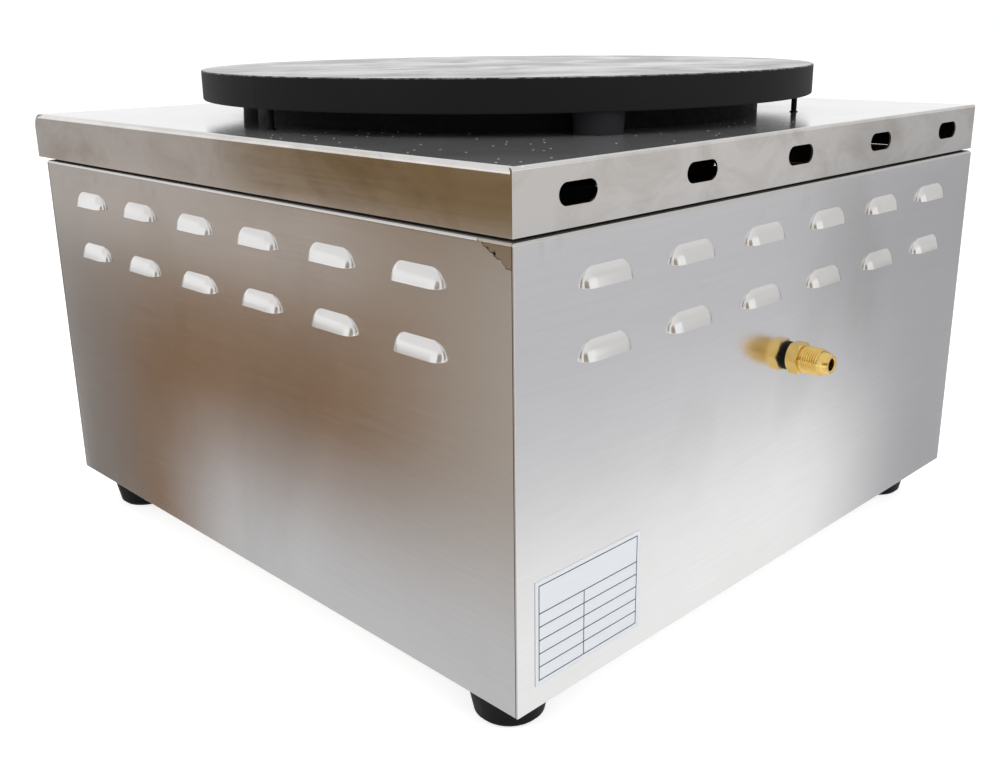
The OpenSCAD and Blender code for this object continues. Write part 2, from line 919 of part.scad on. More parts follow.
module gas_pipe() {
    rear_run_y = rear_y - pipe_rear_gap;
    color(copper)
        translate([0, 0, gas_z])
            bent_bar(
                [
                    [inlet_x, inlet_end_y],
                    [inlet_x, rear_run_y],
                    [-pipe_run_x, rear_run_y],
                    [-pipe_run_x, valve_port_y],
                    [-valve_port_x, valve_port_y]
                ],
                pipe_bend_r, pipe_d, pipe_d - 2 * pipe_wall
            );
}

// Union nut that holds the pipe's end against a threaded end at z = 0
module pipe_nut() {
    grip = pipe_thread_len - pipe_thread_bare;
    translate([0, 0, -grip])
        difference() {
            hex_bar(pipe_nut_af, pipe_nut_len);
            translate([0, 0, -cut])
                cylinder(d = pipe_thread_d + 2 * slip, h = grip + cut);
            translate([0, 0, -cut])
                cylinder(d = pipe_d + 2 * slip, h = pipe_nut_len + 2 * cut);
        }
}

module pipe_nuts() {
    color(brass) {
        translate([inlet_x, inlet_end_y, gas_z])
            rotate([90, 0, 0])
                pipe_nut();
        translate([-valve_port_x, valve_port_y, gas_z])
            rotate([0, -90, 0])
                pipe_nut();
    }
}

// Gas valve and knob

module valve_body() {
    color(brass)
        difference() {
            union() {
                along_y(0, front_in_y, gas_z)
                    cylinder(d = valve_d, h = valve_len);
                along_y(0, neck_end_y, gas_z)
                    cylinder(d = valve_neck_d, h = front_in_y + valve_wall - neck_end_y);
                along_y(0, valve_end_y - cut, gas_z)
                    cylinder(d = outlet_d, h = outlet_len + cut);
                translate([0, valve_port_y, gas_z])
                    rotate([0, -90, 0])
                        cylinder(d = pipe_thread_d, h = valve_port_x);
            }
            along_y(0, neck_end_y - cut, gas_z)
                cylinder(d = spindle_d + 2 * run_fit, h = chamber_y - neck_end_y + 2 * cut);
            along_y(0, chamber_y, gas_z)
                cylinder(d = valve_chamber_d, h = valve_chamber_len);
            along_y(0, chamber_end_y - cut, gas_z)
                cylinder(d = valve_way_d, h = outlet_end_y - chamber_end_y + 2 * cut);
            translate([0, valve_port_y, gas_z])
                rotate([0, -90, 0])
                    cylinder(d = valve_way_d, h = valve_port_x + cut);
        }
}

module valve_nut() {
    color(dark_steel)
        along_y(0, front_y - dial_t - lock_nut_t, gas_z)
            hex_nut(valve_nut_af, lock_nut_t, valve_neck_d + 2 * slip);
}

module valve_spring() {
    color(dark_steel)
        along_y(0, valve_spring_y, gas_z)
            coil(valve_spring_d, valve_wire_d, chamber_end_y - valve_spring_y, valve_spring_turns);
}

module spring_seat() {
    color(dark_steel)
        along_y(0, seat_y, gas_z)
            tube(valve_chamber_d - 2 * free_gap, spindle_d + 2 * run_fit, shoulder_t);
}

// Spindle with a shoulder in the chamber and a flat for the knob
module valve_spindle() {
    flat_len = knob_back_y - knob_recess - spindle_tip_y;
    color(dark_steel)
        along_y(0, 0, gas_z)
            difference() {
                union() {
                    translate([0, 0, spindle_tip_y])
                        cylinder(d = spindle_d, h = seat_y + spindle_tail - spindle_tip_y);
                    translate([0, 0, shoulder_y])
                        cylinder(d = shoulder_d, h = shoulder_t);
                }
                translate([-spindle_d, spindle_flat, spindle_tip_y - cut])
                    cube([2 * spindle_d, spindle_d, flat_len + cut]);
            }
}

module control_knob() {
    skirt_front_y = knob_back_y - knob_skirt;
    color(black)
        along_y(0, 0, gas_z)
            difference() {
                union() {
                    translate([0, 0, skirt_front_y])
                        cylinder(d1 = knob_d - 2 * knob_taper, d2 = knob_d, h = knob_skirt);
                    intersection() {
                        translate([0, 0, knob_face_y])
                            cylinder(d = knob_grip_l, h = skirt_front_y - knob_face_y + cut);
                        translate([-knob_grip_w / 2, -knob_d / 2, knob_face_y])
                            cube([knob_grip_w, knob_d, skirt_front_y - knob_face_y + cut]);
                    }
                }
                translate([0, 0, knob_back_y - knob_recess])
                    cylinder(d = knob_recess_d, h = knob_recess + cut);
                difference() {
                    translate([0, 0, spindle_tip_y - slip])
                        cylinder(d = spindle_d + 2 * slip, h = knob_back_y - spindle_tip_y);
                    translate([-spindle_d, spindle_flat + slip, spindle_tip_y - cut])
                        cube([2 * spindle_d, spindle_d, knob_back_y - spindle_tip_y + cut]);
                }
                translate([-pointer_w / 2, -knob_grip_l / 2 - cut, knob_face_y - cut])
                    cube([pointer_w, pointer_l + cut, pointer_t + cut]);
            }
}

// White line inlaid in the grip, up when the gas is off
module knob_pointer() {
    color(white)
        along_y(0, knob_face_y, gas_z)
            intersection() {
                translate([-pointer_w / 2 + slip, -knob_grip_l / 2, 0])
                    cube([pointer_w - 2 * slip, pointer_l - slip, pointer_t]);
                cylinder(d = knob_grip_l, h = pointer_t);
            }
}

module knob_dial() {
    color(dark_steel)
        along_y(0, front_y - dial_t, gas_z)
            tube(dial_d, valve_neck_d + 2 * slip, dial_t);
}

// Injector, mixing tube and air shutter

module injector() {
    color(brass)
        along_y(0, outlet_end_y, gas_z)
            difference() {
                union() {
                    hex_bar(injector_af, injector_hex_t);
                    translate([0, 0, injector_hex_t])
                        cylinder(d = nozzle_d, h = nozzle_len);
                }
                translate([0, 0, -cut])
                    cylinder(d = valve_way_d, h = injector_hex_t + nozzle_len / 2 + cut);
                cylinder(d = jet_d, h = injector_hex_t + nozzle_len + cut);
            }
}

// Cuts shared by the tube and the shutter, so that their windows meet
module air_windows() {
    along_y(0, shutter_y + (shutter_len - window_len) / 2, gas_z)
        for (i = [0 : window_count - 1])
            rotate((i + 1 / 2) * 360 / window_count)
                translate([0, -window_w / 2, 0])
                    cube([mix_d, window_w, window_len]);
}

module mixing_tube() {
    rise = mix_top_z - gas_z;
    color(cast_iron)
        difference() {
            union() {
                translate([0, 0, gas_z])
                    rotate([90, 0, 90])
                        bent_bar([[mix_y, 0], [0, 0], [0, rise]], mix_bend_r, mix_d, mix_d - 2 * mix_wall);
                along_y(0, mix_y, gas_z)
                    cylinder(d = mix_d - mix_wall, h = mix_wall);
            }
            along_y(0, mix_y - cut, gas_z)
                cylinder(d = nozzle_d + 2 * slip, h = mix_wall + 2 * cut);
            air_windows();
        }
}

module air_shutter() {
    bore = mix_d + 2 * run_fit;
    color(dark_steel)
        difference() {
            along_y(0, shutter_y, gas_z) {
                tube(bore + 2 * shutter_t, bore, shutter_len);
                translate([-shutter_tab_w / 2, -bore / 2 - shutter_t - shutter_tab_h, 0])
                    cube([shutter_tab_w, shutter_tab_h + shutter_t / 2, shutter_t]);
            }
            air_windows();
        }
}

// Burner and what carries it

module at_ears(z) {
    for (s = [-1, 1])
        translate([s * ear_x, 0, z])
            children();
}

module burner_body() {
    boss_r = socket_r + socket_wall;
    boss_h = socket_h + burner_wall;
    color(cast_iron)
        difference() {
            union() {
                translate([0, 0, burner_z])
                    rotate_extrude()
                        polygon([
                            [socket_r, 0],
                            [burner_r, 0],
                            [burner_r, burner_bowl_h],
                            [burner_in_r, burner_bowl_h],
                            [burner_in_r, burner_wall],
                            [boss_r, burner_wall],
                            [boss_r, boss_h],
                            [socket_r, boss_h]
                        ]);
                for (s = [0, 1])
                    mirror([s, 0, 0])
                        translate([ear_root_r, -ear_w / 2, burner_z])
                            cube([ear_x + ear_end - ear_root_r, ear_w, ear_t]);
            }
            at_ears(burner_z - cut)
                cylinder(d = bolt_hole_d, h = ear_t + 2 * cut);
        }
}

module burner_cap() {
    color(cast_iron)
        translate([0, 0, cap_z])
            difference() {
                rotate_extrude()
                    polygon([
                        [0, -cap_step],
                        [burner_in_r - slip, -cap_step],
                        [burner_in_r - slip, 0],
                        [burner_r, 0],
                        [burner_r, burner_cap_t / 2],
                        [cap_flat_r, burner_cap_t],
                        [0, burner_cap_t]
                    ]);
                around(port_count, port_outer_r, 0, -cap_step - cut)
                    cylinder(d = port_d, h = cap_step + burner_cap_t + 2 * cut);
                around(port_count / 2, port_inner_r, 0, -cap_step - cut)
                    cylinder(d = port_d, h = cap_step + burner_cap_t + 2 * cut);
            }
}

module burner_screws() {
    top = burner_z + ear_t;
    bottom = seat_z - 2 * post_t - bolt_nut_t - thread_end;
    color(dark_steel)
        at_ears(top)
            mirror([0, 0, 1])
                pan_screw(bolt_d, bolt_head_d, bolt_head_t, top - bottom);
}

module burner_nuts() {
    color(dark_steel)
        at_ears(seat_z - 2 * post_t - bolt_nut_t)
            hex_nut(bolt_nut_af, bolt_nut_t, bolt_hole_d);
}

module burner_strap() {
    color(dark_steel)
        difference() {
            translate([-post_x, -post_w / 2, seat_z - post_t])
                cube([2 * post_x, post_w, post_t]);
            translate([0, 0, seat_z - post_t - cut])
                cylinder(r = socket_r, h = post_t + 2 * cut);
            at_ears(seat_z - post_t - cut)
                cylinder(d = bolt_hole_d, h = post_t + 2 * cut);
        }
}

// Post bent at both ends: foot flange outwards, top flange inwards under the strap
module burner_posts() {
    top = seat_z - post_t;
    color(dark_steel)
        difference() {
            for (s = [0, 1])
                mirror([s, 0, 0])
                    translate([0, post_w / 2, 0])
                        rotate([90, 0, 0])
                            linear_extrude(post_w)
                                polygon([
                                    [post_x - post_t, pan_top_z],
                                    [post_x + post_flange, pan_top_z],
                                    [post_x + post_flange, pan_top_z + post_t],
                                    [post_x, pan_top_z + post_t],
                                    [post_x, top],
                                    [post_x - post_flange, top],
                                    [post_x - post_flange, top - post_t],
                                    [post_x - post_t, top - post_t]
                                ]);
            at_ears(top - post_t - cut)
                cylinder(d = bolt_hole_d, h = post_t + 2 * cut);
            at_corners(post_screw_x, post_screw_pitch / 2, pan_top_z - cut)
                cylinder(d = bolt_hole_d, h = post_t + 2 * cut);
        }
}

module post_screws() {
    length = sheet_t + post_t + bolt_nut_t + thread_end;
    color(dark_steel)
        at_corners(post_screw_x, post_screw_pitch / 2, case_z)
            pan_screw(bolt_d, bolt_head_d, bolt_head_t, length);
}

module post_nuts() {
    color(dark_steel)
        at_corners(post_screw_x, post_screw_pitch / 2, pan_top_z + post_t)
            hex_nut(bolt_nut_af, bolt_nut_t, bolt_hole_d);
}

module heat_shield() {
    color(steel)
        difference() {
            translate([0, 0, seat_z])
                cylinder(d = shield_d, h = shield_t);
            translate([0, 0, seat_z - cut])
                cylinder(r = socket_r, h = shield_t + 2 * cut);
            at_ears(seat_z - cut)
                cylinder(d = bolt_hole_d, h = shield_t + 2 * cut);
            translate([igniter_x, -electrode_y, seat_z - cut])
                cylinder(d = insulator_d + 2 * slip, h = shield_t + 2 * cut);
        }
}

// Igniter and electrode

module igniter_housing() {
    color(black)
        along_y(igniter_x, 0, gas_z)
            difference() {
                union() {
                    translate([0, 0, bezel_y])
                        cylinder(d = igniter_bezel_d, h = igniter_bezel_t);
                    translate([0, 0, bezel_y])
                        cylinder(d = igniter_d, h = igniter_end_y - bezel_y);
                }
                translate([0, 0, bezel_y - cut])
                    cylinder(d = button_d + 2 * run_fit, h = button_guide + 2 * cut);
                translate([0, 0, igniter_chamber_y])
                    cylinder(d = igniter_chamber_d, h = igniter_chamber_len);
            }
}

module igniter_nut() {
    color(dark_steel)
        along_y(igniter_x, front_in_y, gas_z)
            hex_nut(igniter_nut_af, lock_nut_t, igniter_d + 2 * slip);
}

// Push button with a rounded face and a collar that keeps it in the housing
module igniter_button() {
    length = igniter_chamber_y - bezel_y + button_out + free_gap + button_collar_t;
    r = button_d / 2;
    color(button_red)
        along_y(igniter_x, bezel_y - button_out, gas_z)
            rotate_extrude() {
                translate([0, button_edge_r])
                    square([r, length - button_edge_r]);
                square([r - button_edge_r, length]);
                translate([r - button_edge_r, button_edge_r])
                    circle(button_edge_r);
                translate([0, length - button_collar_t])
                    square([button_collar_d / 2, button_collar_t]);
            }
}

module igniter_spring() {
    color(dark_steel)
        along_y(igniter_x, igniter_spring_y, gas_z)
            coil(
                igniter_spring_d, igniter_wire_d,
                igniter_chamber_end_y - igniter_spring_y, igniter_spring_turns
            );
}

module ignition_lead() {
    color(sleeve_red)
        translate([igniter_x, 0, 0])
            rotate([90, 0, 90])
                bent_bar(
                    [[igniter_end_y, gas_z], [-electrode_y, gas_z], [-electrode_y, insulator_z]],
                    lead_bend_r, lead_d
                );
}

module electrode_insulator() {
    color(white)
        translate([igniter_x, -electrode_y, 0]) {
            translate([0, 0, insulator_z])
                cylinder(d = insulator_d, h = insulator_top_z - insulator_z);
            translate([0, 0, burner_z])
                cylinder(d = insulator_flange_d, h = insulator_flange_t);
        }
}

module electrode_wire() {
    color(dark_steel)
        translate([igniter_x, -electrode_y, insulator_top_z])
            rotate(atan2(electrode_y, -igniter_x))
                rotate([90, 0, 0])
                    bent_bar([[0, 0], [0, wire_rise], [wire_reach, wire_rise]], wire_bend_r, wire_d);
}

// Push-on washer that holds the insulator down on the heat shield
module electrode_clip() {
    color(dark_steel)
        translate([igniter_x, -electrode_y, seat_z - clip_t])
            tube(insulator_flange_d, insulator_d + 2 * slip, clip_t);
}

// Cover, collar and pins

// Upright section whose two top corners have radii of their own
module round_top(width, height, low_r, high_r) {
    translate([-width / 2 + low_r, 0])
        square([width - low_r - high_r, height]);
    for (corner = [[-1, low_r], [1, high_r]]) {
        r = corner[1];
        translate([corner[0] * (width / 2 - r), 0]) {
            translate([-r, 0])
                square([2 * r, height - r]);
            translate([0, height - r])
                circle(r);
        }
    }
}

// Box with its four top edges rounded
module folded_box(w, d, h, side_r, front_r, rear_r) {
    intersection() {
        rotate([90, 0, 90])
            linear_extrude(w, center = true)
                round_top(d, h, front_r, rear_r);
        rotate([90, 0, 0])
            linear_extrude(d, center = true)
                round_top(w, h, side_r, side_r);
    }
}

// Front and rear skirts, which keep square ends past the rounded side edges
module end_skirts() {
    for (skirt = [[1, cover_front_r], [0, cover_rear_r]])
        mirror([0, skirt[0], 0])
            rotate([90, 0, 90])
                linear_extrude(cover_w, center = true) {
                    translate([cover_d / 2 - sheet_t, 0])
                        square([sheet_t, cover_skirt - skirt[1]]);
                    translate([cover_d / 2 - skirt[1], cover_skirt - skirt[1]])
                        quarter_bend(skirt[1]);
                }
}

module top_cover() {
    inner_w = cover_w - 2 * sheet_t;
    inner_d = cover_d - 2 * sheet_t;
    inner_h = cover_skirt - 2 * sheet_t;
    color(steel)
        difference() {
            translate([0, cover_y, cover_z]) {
                folded_box(cover_w, cover_d, cover_skirt, cover_bend_r, cover_front_r, cover_rear_r);
                end_skirts();
            }
            translate([0, cover_y, cover_z + sheet_t])
                folded_box(
                    inner_w, inner_d, inner_h, cover_bend_r - sheet_t, cover_front_bend, cover_rear_bend
                );
            translate([-cover_w / 2 + hem_w, cover_y - cover_d / 2 + hem_w, cover_z - cut])
                cube([cover_w - 2 * hem_w, cover_d - 2 * hem_w, sheet_t + 2 * cut]);
            translate([0, 0, cover_top_z - sheet_t - cut])
                cylinder(r = opening_r, h = sheet_t + 2 * cut);
            for (i = [0 : vent_count - 1])
                along_y(
                    (i - (vent_count - 1) / 2) * vent_pitch,
                    cover_y + cover_d / 2 - sheet_t - cut,
                    cover_top_z - vent_drop
                )
                    linear_extrude(sheet_t + 2 * cut)
                        obround(vent_len, vent_h);
            around(leg_count, pin_circle_r, 0, cover_top_z - sheet_t - cut)
                cylinder(d = pin_d + 2 * slip, h = sheet_t + 2 * cut);
            at_corners(buffer_x, buffer_y, cover_z - cut)
                cylinder(d = buffer_stem_d + 2 * free_gap, h = sheet_t + 2 * cut);
        }
}

// Angle-section ring welded on the cover round the opening
module flame_collar() {
    collar_h = plate_gap - collar_top_gap;
    color(dark_steel)
        translate([0, 0, cover_top_z])
            rotate_extrude()
                polygon([
                    [opening_r, 0],
                    [collar_r, 0],
                    [collar_r, collar_h],
                    [collar_r - collar_t, collar_h],
                    [collar_r - collar_t, collar_t],
                    [opening_r, collar_t]
                ]);
}

module locating_pins() {
    below = sheet_t + pin_nut_t + thread_end;
    above = plate_gap + pin_enter - pin_tip;
    color(steel)
        around(leg_count, pin_circle_r, 0, cover_top_z) {
            translate([0, 0, -below])
                cylinder(d = pin_d, h = below + above);
            translate([0, 0, above])
                cylinder(d1 = pin_d, d2 = pin_d - 2 * pin_tip, h = pin_tip);
            cylinder(d = pin_shoulder_d, h = pin_shoulder_t);
        }
}

module pin_nuts() {
    color(dark_steel)
        around(leg_count, pin_circle_r, 0, cover_top_z - sheet_t - pin_nut_t)
            hex_nut(pin_nut_af, pin_nut_t, pin_d + 2 * slip);
}

// Griddle plate with its cast legs and the blind holes for the pins
module crepe_plate() {
    r = plate_d / 2;
    e = plate_edge_r;
    leg_h = plate_gap - rest_gap;
    color(cast_iron)
        difference() {
            union() {
                translate([0, 0, plate_z])
                    rotate_extrude() {
                        square([r - e, plate_t]);
                        translate([0, e])
                            square([r, plate_t - 2 * e]);
                        for (z = [e, plate_t - e])
                            translate([r - e, z])
                                circle(e);
                    }
                around(leg_count, leg_circle_r, 180 / leg_count, cover_top_z + rest_gap) {
                    cylinder(d1 = leg_bottom_d, d2 = leg_top_d, h = leg_h);
                    translate([0, 0, leg_h - cut / 2])
                        cylinder(d = leg_top_d - cut, h = cut);
                }
            }
            around(leg_count, pin_circle_r, 0, plate_z - cut)
                cylinder(d = pin_d + 2 * pin_clear, h = pin_enter + 2 * cut);
        }
}

base_pan();
right_side_panel();
left_side_panel();
rear_panel();
front_panel();
rubber_feet();
foot_screws();
foot_nuts();
cover_buffers();
rating_plate();
inlet_fitting();
inlet_washer();
inlet_lock_nut();
gas_pipe();
pipe_nuts();
valve_body();
valve_nut();
valve_spring();
spring_seat();
valve_spindle();
control_knob();
knob_pointer();
knob_dial();
injector();
mixing_tube();
air_shutter();
burner_body();
burner_cap();
burner_screws();
burner_nuts();
burner_strap();
burner_posts();
post_screws();
post_nuts();
heat_shield();
igniter_housing();
igniter_nut();
igniter_button();
igniter_spring();
ignition_lead();
electrode_insulator();
electrode_wire();
electrode_clip();
top_cover();
flame_collar();
locating_pins();
pin_nuts();
crepe_plate();
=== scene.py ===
# Looks of the gas crepe maker: finishes, small modelled pieces, light and camera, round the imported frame.
import json
import math

import bmesh
import bpy
from mathutils import Matrix, Vector


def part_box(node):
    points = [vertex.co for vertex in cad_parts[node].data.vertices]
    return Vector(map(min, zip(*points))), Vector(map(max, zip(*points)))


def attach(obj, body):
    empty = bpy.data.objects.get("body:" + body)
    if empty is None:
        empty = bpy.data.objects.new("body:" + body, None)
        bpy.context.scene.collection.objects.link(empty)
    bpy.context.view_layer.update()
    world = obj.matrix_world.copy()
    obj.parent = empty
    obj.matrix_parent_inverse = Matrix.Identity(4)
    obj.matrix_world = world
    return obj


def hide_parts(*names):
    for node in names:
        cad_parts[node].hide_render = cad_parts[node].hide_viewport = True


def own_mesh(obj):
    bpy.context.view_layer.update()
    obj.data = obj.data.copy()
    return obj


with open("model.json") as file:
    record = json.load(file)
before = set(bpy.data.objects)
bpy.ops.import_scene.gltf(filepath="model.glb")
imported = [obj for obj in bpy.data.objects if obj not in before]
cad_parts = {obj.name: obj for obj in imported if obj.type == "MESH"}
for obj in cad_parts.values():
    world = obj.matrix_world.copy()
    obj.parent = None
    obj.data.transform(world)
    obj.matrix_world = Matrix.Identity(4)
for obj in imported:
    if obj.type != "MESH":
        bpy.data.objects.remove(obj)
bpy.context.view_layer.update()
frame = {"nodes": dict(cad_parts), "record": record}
nodes = frame["nodes"]
scene = bpy.context.scene

# Picture and camera, fitted to the photograph

PICTURE_W = 1000
PICTURE_H = 759
LENS_AXIS_U = 505.0
LENS_AXIS_V = 355.0
FOCAL_PIXELS = 1095.3
SENSOR_W = 36.0
CLIP_START = 0.01
CLIP_END = 100.0
CAMERA_PLACE = Vector((0.5421, 0.5400, 0.3382))
CAMERA_AZIMUTH = math.radians(44.85)
CAMERA_PITCH = math.radians(-16.77)
CAMERA_ROLL = math.radians(-0.64)

# Sizes in metres, counts and shares of the modelled pieces

MILLIMETRE = 0.001
MERGE_DIST = 0.00001
LOUVRE_OUT = 0.0045
LOUVRE_ROWS = 2
LOUVRE_COUNT = 6
LOUVRE_PITCH = 0.066
LOUVRE_DROP = 0.0265
LOUVRE_ROW_PITCH = 0.0343
HOOD_FLAT_HALF = 0.0106
HOOD_END = 0.0069
HOOD_OUT = 0.0049
HOOD_TOP = 0.0092
HOOD_STEP = 0.0021
HOOD_BLUNT = 5
HOOD_ROWS = 14
HOOD_END_STEPS = 9
LIP_DROP = 0.0002
LIP_T = 0.001
LIP_ROLL = 0.0003
SMOOTH_ANGLE = math.radians(32)
TURN_STEPS = 144
THREAD_PITCH = 0.00141
THREAD_DEPTH = 0.0008
THREAD_STEPS = 14
HEX_FACE_SHARE = 0.97
HEX_CHAMFER_SLOPE = 0.55
TAIL_THREAD_R = 0.0065
TAIL_THREAD_LEN = 0.0135
NECK_R = 0.007
BORE_R = 0.0035
NOSE_R = 0.005
NOSE_LEN = 0.0055
NOSE_EASE = 0.0004
BORE_CHAMFER = 0.0006
PRINT_T = 0.00006
RULE_W = 0.0005
LABEL_MARGIN = 0.0025
LABEL_ROWS = 5
HEADER_SHARE = 0.29
DIVIDER_SHARE = 0.44
KNOB_SKIRT = 0.009
KNOB_TAPER = 0.002
KNOB_EDGE_R = 0.0014
KNOB_RECESS = 0.006
KNOB_BORE_R = 0.0041
KNOB_BORE_WALL = 0.0038
NUT_ROOM = 0.002
KNOB_FLUTES = 24
FLUTE_DEPTH = 0.0005
GRIP_W = 0.013
GRIP_INSET = 0.0015
GRIP_FILLET = 0.0014
GRIP_DRAFT = 0.0006
INLAY_PROUD = 0.0002
COIL_STEPS = 24
WIRE_SIDES = 10
VALVE_WIRE_D = 0.0014
VALVE_TURNS = 6
IGNITER_WIRE_D = 0.001
IGNITER_TURNS = 7
DIAL_MARK_R = 0.0305
DIAL_TICK_R = 0.0335
DIAL_TICK_LEN = 0.002
DIAL_TICK_W = 0.0005
DIAL_TICK_STEP = 15
FULL_FLAME_ANGLE = 90
LOW_FLAME_ANGLE = 180
OFF_DOT_R = 0.0016
WEDGE_MARGIN = 13
WEDGE_WIDE = 0.0026
WEDGE_NARROW = 0.0006
FULL_FLAME_H = 0.0056
LOW_FLAME_H = 0.0036
FLAME_WAIST = 0.3
FLAME_POINT = 1.5
MARK_STEP = 15
ARC_STEP = 3

# Sizes in metres, counts and shares that the finishes follow

EDGE_R = 0.0005
SHEET_EDGE_R = 0.00025
PLATE_EDGE_R = 0.0003
BRASS_EDGE_R = 0.0002
BEVEL_SAMPLES = 6
SCRATCH_DEPTH = 0.000003
WAVE_DEPTH = 0.0006
OIL_DEPTH = 0.00004
GRAIN_DEPTH = 0.00002
TURNING_DEPTH = 0.000004
DUST_SHARE = 0.06
DUST_PICK = 0.86
SHEET_T = 0.0012
LEG_SKIN = 0.0002
COVER_BEND = 0.0032
WALL_BEND = 0.0024
PLATE_T = 0.018
GRIME_H = 0.016
SEAM_HALF = 0.00022
FILM_LEN = 0.022
FILM_SLOPE = 0.55
FILM_RAGGED = 0.0018
FILM_EDGE_HALF = 0.00025
wall_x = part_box("front_panel")[1].x
wall_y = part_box("rear_panel")[1].y - LOUVRE_OUT
SEAM_Y = wall_y - SHEET_T
WALL_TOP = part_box("rear_panel")[1].z

# Patterns of the finishes, in cycles per metre along x, y and z

WALL_SCRATCHES = (14, 14, 700)
WALL_GRAIN = (26, 26, 420)
WALL_SMEARS = (9, 9, 14)
WALL_STAINS = (8, 8, 5)
WALL_DRIPS = (34, 34, 11)
FILM_TEARS = (240, 240, 240)
COVER_SCRATCHES = (10, 10, 700)
COVER_SMEARS = (11, 11, 30)
COVER_WAVES = (6, 6, 6)
COVER_CLOUDS = (17, 17, 26)
COVER_DUST = (110, 110, 1)
MILL_STREAKS = (60, 900, 900)
MILL_PATCHES = (16, 16, 16)
PLATE_GRAIN = (850, 850, 850)
PLATE_OIL = (16, 16, 16)
PLATE_BARE = (260, 260, 260)
BRASS_TURNING = (60, 2600, 60)
BRASS_TARNISH = (160, 160, 160)

# Colours of the finishes

SHEET_DARK = (0.77, 0.765, 0.76)
SHEET_LIGHT = (0.83, 0.825, 0.825)
STAIN_BROWN = (0.56, 0.53, 0.49)
DRIP_BROWN = (0.2, 0.165, 0.13)
FILM_BEIGE = (0.56, 0.5, 0.42)
# Black of the seams and the film's edge, also painted on the case's flange as shade
SEAM_AND_SHADE_BLACK = (0.03, 0.028, 0.026)
# Grey painted on the walls' top bend as shade under the cover's edge
BEND_SHADE_GREY = (0.4, 0.38, 0.36)
SKIRT_CLEAN = (0.8, 0.785, 0.765)
SKIRT_DULL = (0.62, 0.585, 0.54)
MIRROR_DARK = (0.68, 0.68, 0.69)
MIRROR_LIGHT = (0.74, 0.74, 0.745)
DUST_GREY = (0.75, 0.72, 0.68)
# Black painted inside the cover as shade
INSIDE_SHADE_BLACK = (0.05, 0.046, 0.043)
MILL_DARK = (0.42, 0.41, 0.40)
MILL_LIGHT = (0.58, 0.575, 0.565)
RIM_DARK = (0.0085, 0.008, 0.0088)
RIM_LIGHT = (0.0125, 0.0118, 0.013)
FACE_DARK = (0.06, 0.06, 0.063)
FACE_LIGHT = (0.17, 0.17, 0.178)
# Light grey of bare worn iron on the plate's top edge, which also paints in the edge's glint
BARE_IRON_GLINT = (0.4, 0.39, 0.38)
LEG_SOOT = (0.022, 0.0215, 0.025)
BRASS_DARK = (0.72, 0.47, 0.13)
BRASS_LIGHT = (0.93, 0.69, 0.25)

# Ranges of the finishes: low and high of a tone, tint or gloss, then the pattern's start and end

WALL_GRAIN_TONE = (0, 0.3)
WALL_SMEAR_TONE = (0.1, 0.6)
WALL_STAIN_TINT = (0, 0.3, 0.56, 0.72)
WALL_DRIP_TINT = (0, 0.1, 0.64, 0.7)
# Painted shade on the walls' top bend
WALL_BEND_SHADE = (0, 0.4)
WALL_SCRATCH_GLOSS = (0.17, 0.22)
WALL_SMEAR_GLOSS = (0.03, -0.02)
SKIRT_CLOUD_TINT = (0, 0.85, 0.44, 0.68)
SKIRT_SCRATCH_GLOSS = (0.1, 0.14)
SKIRT_SMEAR_GLOSS = (-0.02, 0.05)
COVER_TOP_GLOSS = (0.1, 0.17)
MILL_STREAK_GLOSS = (0.28, 0.36)
MILL_PATCH_GLOSS = (0.0, 0.12)
PLATE_BARE_TINT = (0.05, 0.5, 0.4, 0.66)
PLATE_FACE_GLOSS = (0.27, 0.12, 0.34, 0.62)
PLATE_RIM_GLOSS = (0.5, 0.6)
BRASS_TURNING_GLOSS = (0.14, 0.22)
BRASS_TARNISH_GLOSS = (0.05, 0.0)

# How far a face looks up at the start and end of a change of finish

# Tilts of the case's flange, which is painted black as shade
SHADED_FLANGE_TILT = (0.9, 0.97)
COVER_TOP_TILT = (0.55, 0.9)
PLATE_FACE_TILT = (0.97, 0.99)
PLATE_EDGE_TILT = (0.1, 0.3)

# Roughness added on dull places, and how metallic the filmed cover top is

# Roughness of the flange painted black as shade
SHADED_FLANGE_DULL = 0.8
DUST_DULL = 0.6
INSIDE_SHADE_DULL = 0.35
SOOT_DULL = 0.2
COVER_TOP_METAL = 0.85


# Small mesh helpers

def add_mesh(name, bm, material, body):
    """Turns a bmesh into a smooth-shaded piece that rides on a body and takes the given finish."""
    bmesh.ops.recalc_face_normals(bm, faces=bm.faces)
    for face in bm.faces:
        face.smooth = True
    for edge in bm.edges:
        edge.smooth = len(edge.link_faces) == 2 and edge.calc_face_angle() < SMOOTH_ANGLE
    mesh = bpy.data.meshes.new(name)
    bm.to_mesh(mesh)
    bm.free()
    mesh.materials.append(material)
    piece = bpy.data.objects.new(name, mesh)
    scene.collection.objects.link(piece)
    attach(piece, body)
    return piece


def add_box(bm, low, high):
    """Adds a closed box between two corners."""
    size = [b - a for a, b in zip(low, high)]
    middle = [(a + b) / 2 for a, b in zip(low, high)]
    place = Matrix.Translation(middle) @ Matrix.Diagonal((*size, 1.0))
    bmesh.ops.create_cube(bm, size=1.0, matrix=place)


def skin_rings(bm, rings, capped):
    """Joins rings of equal length into one closed skin: end to end, or with both ends capped."""
    rows = [[bm.verts.new(point) for point in ring] for ring in rings]
    if capped:
        bm.faces.new(rows[0])
        bm.faces.new(rows[-1])
    else:
        rows.append(rows[0])
    for low, high in zip(rows, rows[1:]):
        for i in range(len(low)):
            j = (i + 1) % len(low)
            bm.faces.new((low[i], low[j], high[j], high[i]))


# Node helpers

def new_material(name):
    """A material, its node tree and its Principled shader."""
    material = bpy.data.materials.new(name)
    material.use_nodes = True
    tree = material.node_tree
    return material, tree, tree.nodes["Principled BSDF"]


def set_inputs(shader, **values):
    """Sets constant sockets, a name's underscores standing for spaces."""
    for name, value in values.items():
        shader.inputs[name.replace("_", " ")].default_value = value


